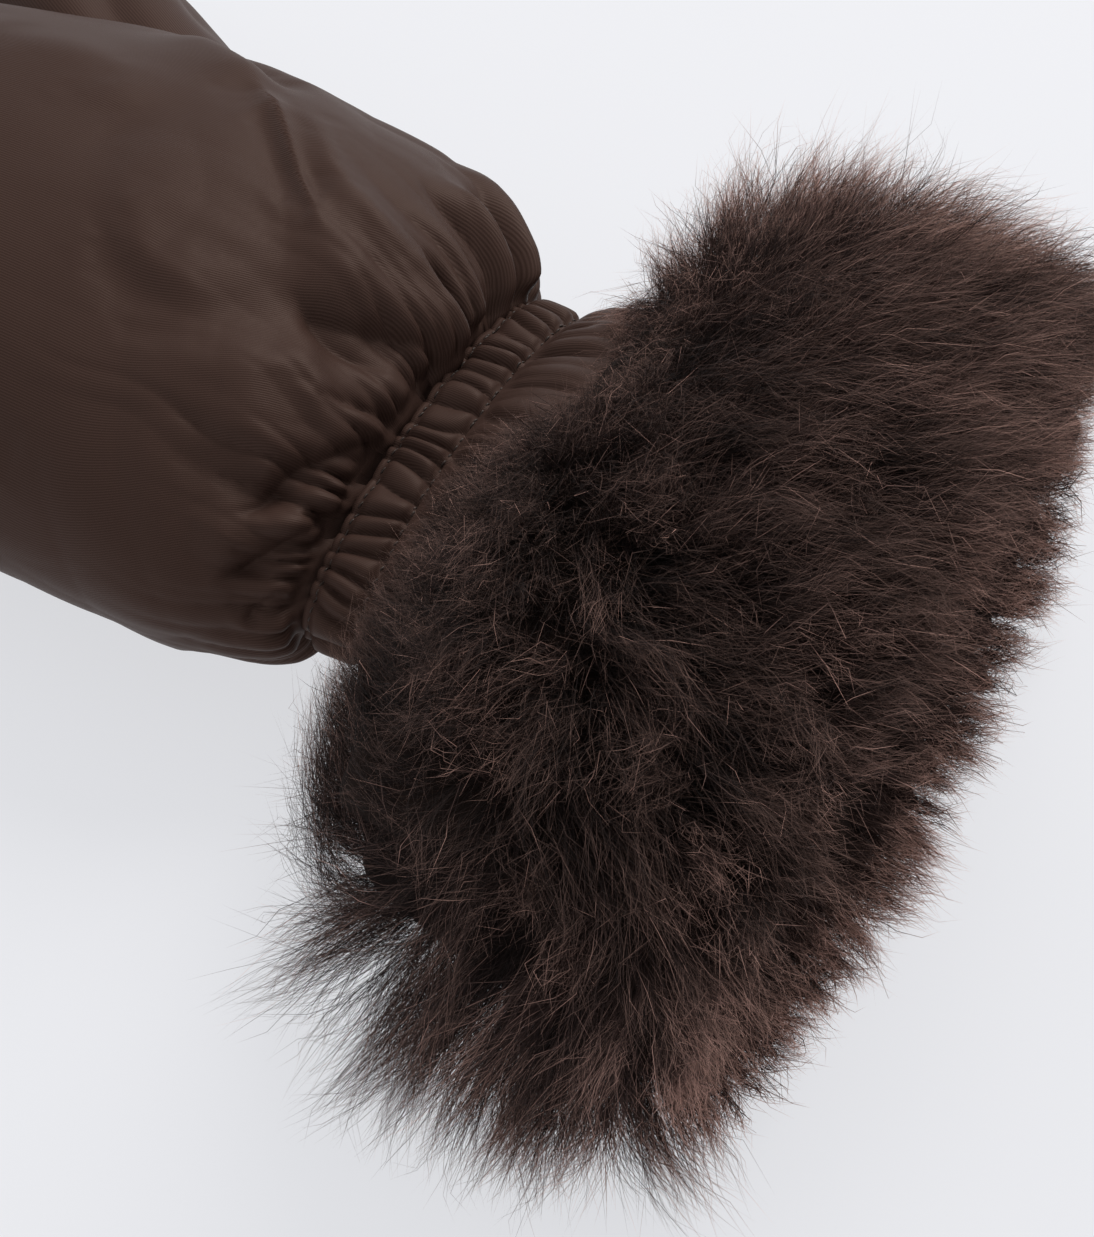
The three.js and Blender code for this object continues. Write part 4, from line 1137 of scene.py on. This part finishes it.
def hair_tone_and_painted_light(along, nx, nz, home, hairs, spread):
    """One shade for each hair, from dark (0) to pale (1), painted paler for light at the cuff's edges."""
    shape = (len(along), hairs)
    shade = MIDDLE_SHADE + lock_shade[home][:, None] + 0.13 * spread.normal(size=(len(along), 1))
    # Painted light: the hair is painted paler on the far side, where the lamp falls and light comes through the
    # outline. It is also painted paler along the near side by the glowing table, and round the mouth, where
    # light comes through thin hair.
    far_side_painted_light = 1.5 * smooth((nx + 0.1) / 0.8) * mix(1.2, 0.4, smooth(along))
    near_side_painted_light = smooth((-nx - 0.55) / 0.5) * mix(0.2, 1.4, smooth((along - 0.6) / 0.3))
    mouth_painted_light = smooth((along - 0.72) / 0.25) * mix(0.35, 1.5, smooth(0.6 - 1.2 * nz))
    edge = np.maximum(np.maximum(far_side_painted_light, near_side_painted_light), mouth_painted_light)
    shade = shade + 0.07 * spread.normal(size=shape) + EDGE_PAINTED_LIGHT * edge[:, None]
    undyed = spread.uniform(0, 1, shape) < UNDYED
    return np.where(undyed, UNDYED_SHADE, np.clip(shade, 0.02, 0.85))


print("shades round", MIDDLE_SHADE, "and up to", EDGE_PAINTED_LIGHT, "more for each step towards the edge")

# %% [markdown]
# Blender's hair curves would render finer, but the piece has to stay a mesh. So each hair is a flat ribbon,
# turned mostly to the sky and tapering to a point. A real hair of this fur is 0.02 to 0.05 mm thick, too
# fine to show, so the ribbons are drawn 0.075 mm wide, and wider at the mouth, where they have to hide the
# table behind them.

# %% Ribbons
HAIR_WIDTH = 0.075  # mm
LONG_STEPS = np.array([0, 0.2, 0.42, 0.64, 0.84, 1.0])
SHORT_STEPS = np.array([0, 0.4, 0.74, 1.0])


def ribbons(name, places, shade, steps, width, spread):
    """Every hair as a thin ribbon that tapers to its tip."""
    count, rings = places.shape[:2]
    ahead = unit(np.gradient(places, axis=1))
    facing = unit(np.array([-0.25, -0.2, 0.9]) + 0.6 * spread.normal(size=(count, 1, 3)))
    side = unit(np.cross(ahead, facing))
    half = width / 2 * (1 - 0.9 * steps**5)[:, None] * spread.uniform(0.7, 1.3, (count, 1, 1))
    per = 2 * (rings - 1) + 1
    points = np.empty((count, per, 3))
    points[:, 0:-1:2] = (places - side * half)[:, :-1]
    points[:, 1:-1:2] = (places + side * half)[:, :-1]
    points[:, -1] = places[:, -1]
    q = 2 * np.arange(rings - 2)
    quads = np.stack([q, q + 1, q + 3, q + 2], 1).ravel()
    pattern = np.concatenate([quads, [per - 3, per - 2, per - 1]])
    sizes = np.tile([4] * (rings - 2) + [3], count)
    loops = (pattern[None] + (np.arange(count) * per)[:, None]).ravel()
    v_of = np.concatenate([np.repeat(steps[:-1], 2), [1.0]])[pattern]
    uv = np.stack([np.repeat(shade, len(pattern)), np.tile(v_of, count)], 1)
    made = array_mesh(name, points.reshape(-1, 3), loops, sizes, uv, "OFBake")
    print("  ", count, "hairs, lowest", round(points[..., 2].min(), 2), "mm")
    return made


# %% The six pieces of hair
def hair_piece(name, wisps, hairs, reach, steps, seed, length=1.0, deep=0.0, closing=0.5, wild=1.3,
               thick=1.0):
    """Hair on one stretch of the cuff, joined in one mesh. steps are places from root to tip."""
    spread = np.random.default_rng(seed)
    lines = wisp_lines(wisps, reach, length, deep, closing, spread)
    root, middle, tip, reach_mm, along, home, nx, nz = lines
    places = hair_lines(root, middle, tip, reach_mm, nx, nz, hairs, steps, wild, spread)
    shade = hair_tone_and_painted_light(along, nx, nz, home, hairs, spread)
    return ribbons(name, places, shade.reshape(-1), steps, thick * HAIR_WIDTH, spread)


hair = [
    hair_piece("fur_hair_wrist", 1100, 12, (-0.3, 0.26), LONG_STEPS, 61),
    hair_piece("fur_hair_crown", 1240, 12, (0.12, 0.52), LONG_STEPS, 62),
    hair_piece("fur_hair_fall", 1300, 12, (0.42, 0.8), LONG_STEPS, 63, thick=1.25),
    hair_piece("fur_hair_mouth", 1200, 12, (0.7, 0.97), LONG_STEPS, 64, thick=1.35),
    hair_piece("fur_hair_rim", 1200, 12, (0.94, 1.02), LONG_STEPS, 66, closing=0.25, thick=1.7),
    hair_piece("fur_down", 2500, 7, (-0.28, 1.0), SHORT_STEPS, 65, length=0.75, deep=0.2, closing=0.3,
               wild=3.4),
]

# %% [markdown]
# ## Materials
# The shell is faille nylon: a flat, tightly woven cloth whose thicker threads show as fine ribs along the
# hand. It has a soft, low gloss that catches on the folds. A picture could carry the weave, but a wave
# over the cloth's own UV map stays sharp at any distance and follows every fold.

# %% Ribbed nylon
RIB_SPACING = 0.5  # mm from rib to rib, as the photograph's closest folds show
RIB_RELIEF = 0.0001  # metres


def faille(name, colour, painted_rib_light):
    """Dyed faille nylon: matt, with a warm low sheen, with painted shade in the grooves and painted light on
    the ribs.
    """
    made, tree, shader = material(
        name, Roughness=0.5, Specular_IOR_Level=0.14, Specular_Tint=srgb("#ffe0d0"))
    cloth = add(tree, "ShaderNodeUVMap", uv_map="cloth")
    across = add(tree, "ShaderNodeSeparateXYZ", {"Vector": cloth.outputs["UV"]})
    turns = add(tree, "ShaderNodeMath", {0: across.outputs["X"], 1: TURN / RIB_SPACING}, operation="MULTIPLY")
    ribs = add(tree, "ShaderNodeMath", {0: turns.outputs[0]}, operation="SINE")
    slub = add(tree, "ShaderNodeTexNoise", {"Vector": cloth.outputs["UV"], "Scale": 0.9, "Detail": 3.0})
    uneven = add(tree, "ShaderNodeMath", {0: ribs.outputs[0], 1: slub.outputs["Fac"]}, operation="MULTIPLY")
    bump = add(tree, "ShaderNodeBump", {"Height": uneven.outputs[0], "Strength": 0.3, "Distance": RIB_RELIEF})
    tree.links.new(bump.outputs[0], shader.inputs["Normal"])
    # Painted shade and light: the colour goes from the darker one in the grooves to the paler one on the ribs.
    rib_shading_mix = add(tree, "ShaderNodeMapRange", {"Value": ribs.outputs[0], "From Min": -1.0, "From Max": 1.0})
    colours = add(tree, "ShaderNodeMix", {"Factor": rib_shading_mix.outputs[0], 6: srgb(colour), 7: srgb(painted_rib_light)},
                  data_type="RGBA")
    tree.links.new(colours.outputs[2], shader.inputs["Base Color"])
    return made


# The nylon's dyed colour with painted shade for the grooves, and a paler one painted as light on the ribs.
nylon = faille("faille_nylon", "#3a2a24", "#483630")
for piece in (hand, thumb, band, plain):
    piece.data.materials.append(nylon)
print(nylon.name, "with ribs", RIB_SPACING, "mm apart")

# %% [markdown]
# The thread is spun polyester, dyed with the cloth. It is a little glossier than the nylon, so that the
# stitches catch the light as small dashes.

# %% Thread
thread, _, _ = material("polyester_thread", Base_Color=srgb("#33261f"), Roughness=0.45)
stitches.data.materials.append(thread)
print(thread.name, THREAD, "mm thick")

# %% [markdown]
# The hair is dyed wool-like fur, warm brown along the hair. Down between the locks it is painted nearly black,
# for the shade that lies there. It is paler at the tips, where the dye and the hair are thinner, and where
# painted light stands for the light that comes through. V runs along the hair through a ramp, and U, the hair's
# shade, makes the whole of it stronger or weaker; U also carries the painted light at the cuff's edges.

# %% Dyed fur
# Painted shade at the root, nearly black; the paler tip is partly thinner dye and partly painted light through
# the hair.
ROOT_SHADE_COLOUR, HAIR_COLOUR, TIP_DYE_AND_LIGHT_COLOUR = "#0e0908", "#2a1e1b", "#8d7066"
PALE_GAIN, DARK_GAIN = 4.2, 0.55
fur, tree, shader = material("dyed_long_hair", Roughness=0.7, Specular_IOR_Level=0.2)
strand = add(tree, "ShaderNodeUVMap", uv_map="OFBake")
parts = add(tree, "ShaderNodeSeparateXYZ", {"Vector": strand.outputs["UV"]})
ramp = add(tree, "ShaderNodeValToRGB", {"Fac": parts.outputs["Y"]})
ramp.color_ramp.elements[0].color = srgb(ROOT_SHADE_COLOUR)
ramp.color_ramp.elements[1].color = srgb(TIP_DYE_AND_LIGHT_COLOUR)
ramp.color_ramp.elements.new(0.7).color = srgb(HAIR_COLOUR)
pale = add(tree, "ShaderNodeMath", {0: parts.outputs["X"], 1: 3.0}, operation="POWER")
strength = add(tree, "ShaderNodeMath", {0: pale.outputs[0], 1: PALE_GAIN, 2: DARK_GAIN},
               operation="MULTIPLY_ADD")
tinted = add(tree, "ShaderNodeVectorMath", {0: ramp.outputs["Color"], "Scale": strength.outputs[0]},
             operation="SCALE")
tree.links.new(tinted.outputs[0], shader.inputs["Base Color"])
for piece in hair:
    piece.data.materials.append(fur)
print(fur.name, "on", len(hair), "pieces")

# %% [markdown]
# Only glimpses of the underwool show, deep between the locks and inside the mouth. It is matt and painted
# nearly black for the shade that lies deep in the fur, with a clouded tone a few millimetres across, so that no
# smooth surface shows through the hair.

# %% Underwool
CLOUDS = 260.0  # noise cells in a metre, about 4 mm each
wool, tree, shader = material("underwool_painted_shade", Roughness=0.95, Specular_IOR_Level=0.1)
place = add(tree, "ShaderNodeTexCoord")
lumps = add(tree, "ShaderNodeTexNoise", {"Vector": place.outputs["Object"], "Scale": CLOUDS, "Detail": 4.0})
shade_tones = add(tree, "ShaderNodeValToRGB", {"Fac": lumps.outputs["Fac"]})
# Painted shade: both tones are nearly black, for the shade deep in the fur.
shade_tones.color_ramp.elements[0].color = srgb("#120d0b")
shade_tones.color_ramp.elements[1].color = srgb("#2a1f1a")
tree.links.new(shade_tones.outputs["Color"], shader.inputs["Base Color"])
pelt.data.materials.append(wool)
print(wool.name, "on", pelt.name)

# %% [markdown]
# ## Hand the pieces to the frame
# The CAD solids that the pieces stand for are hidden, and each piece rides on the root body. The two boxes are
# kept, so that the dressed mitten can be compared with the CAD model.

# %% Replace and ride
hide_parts("hand_shell")
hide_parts("thumb_shell")
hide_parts("wrist_band")
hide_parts("cuff_band")
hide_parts("fur_cuff")
for piece in (hand, thumb, band, plain, stitches, pelt, *hair):
    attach(piece, "root")
print(6 + len(hair), "pieces ride on the root")
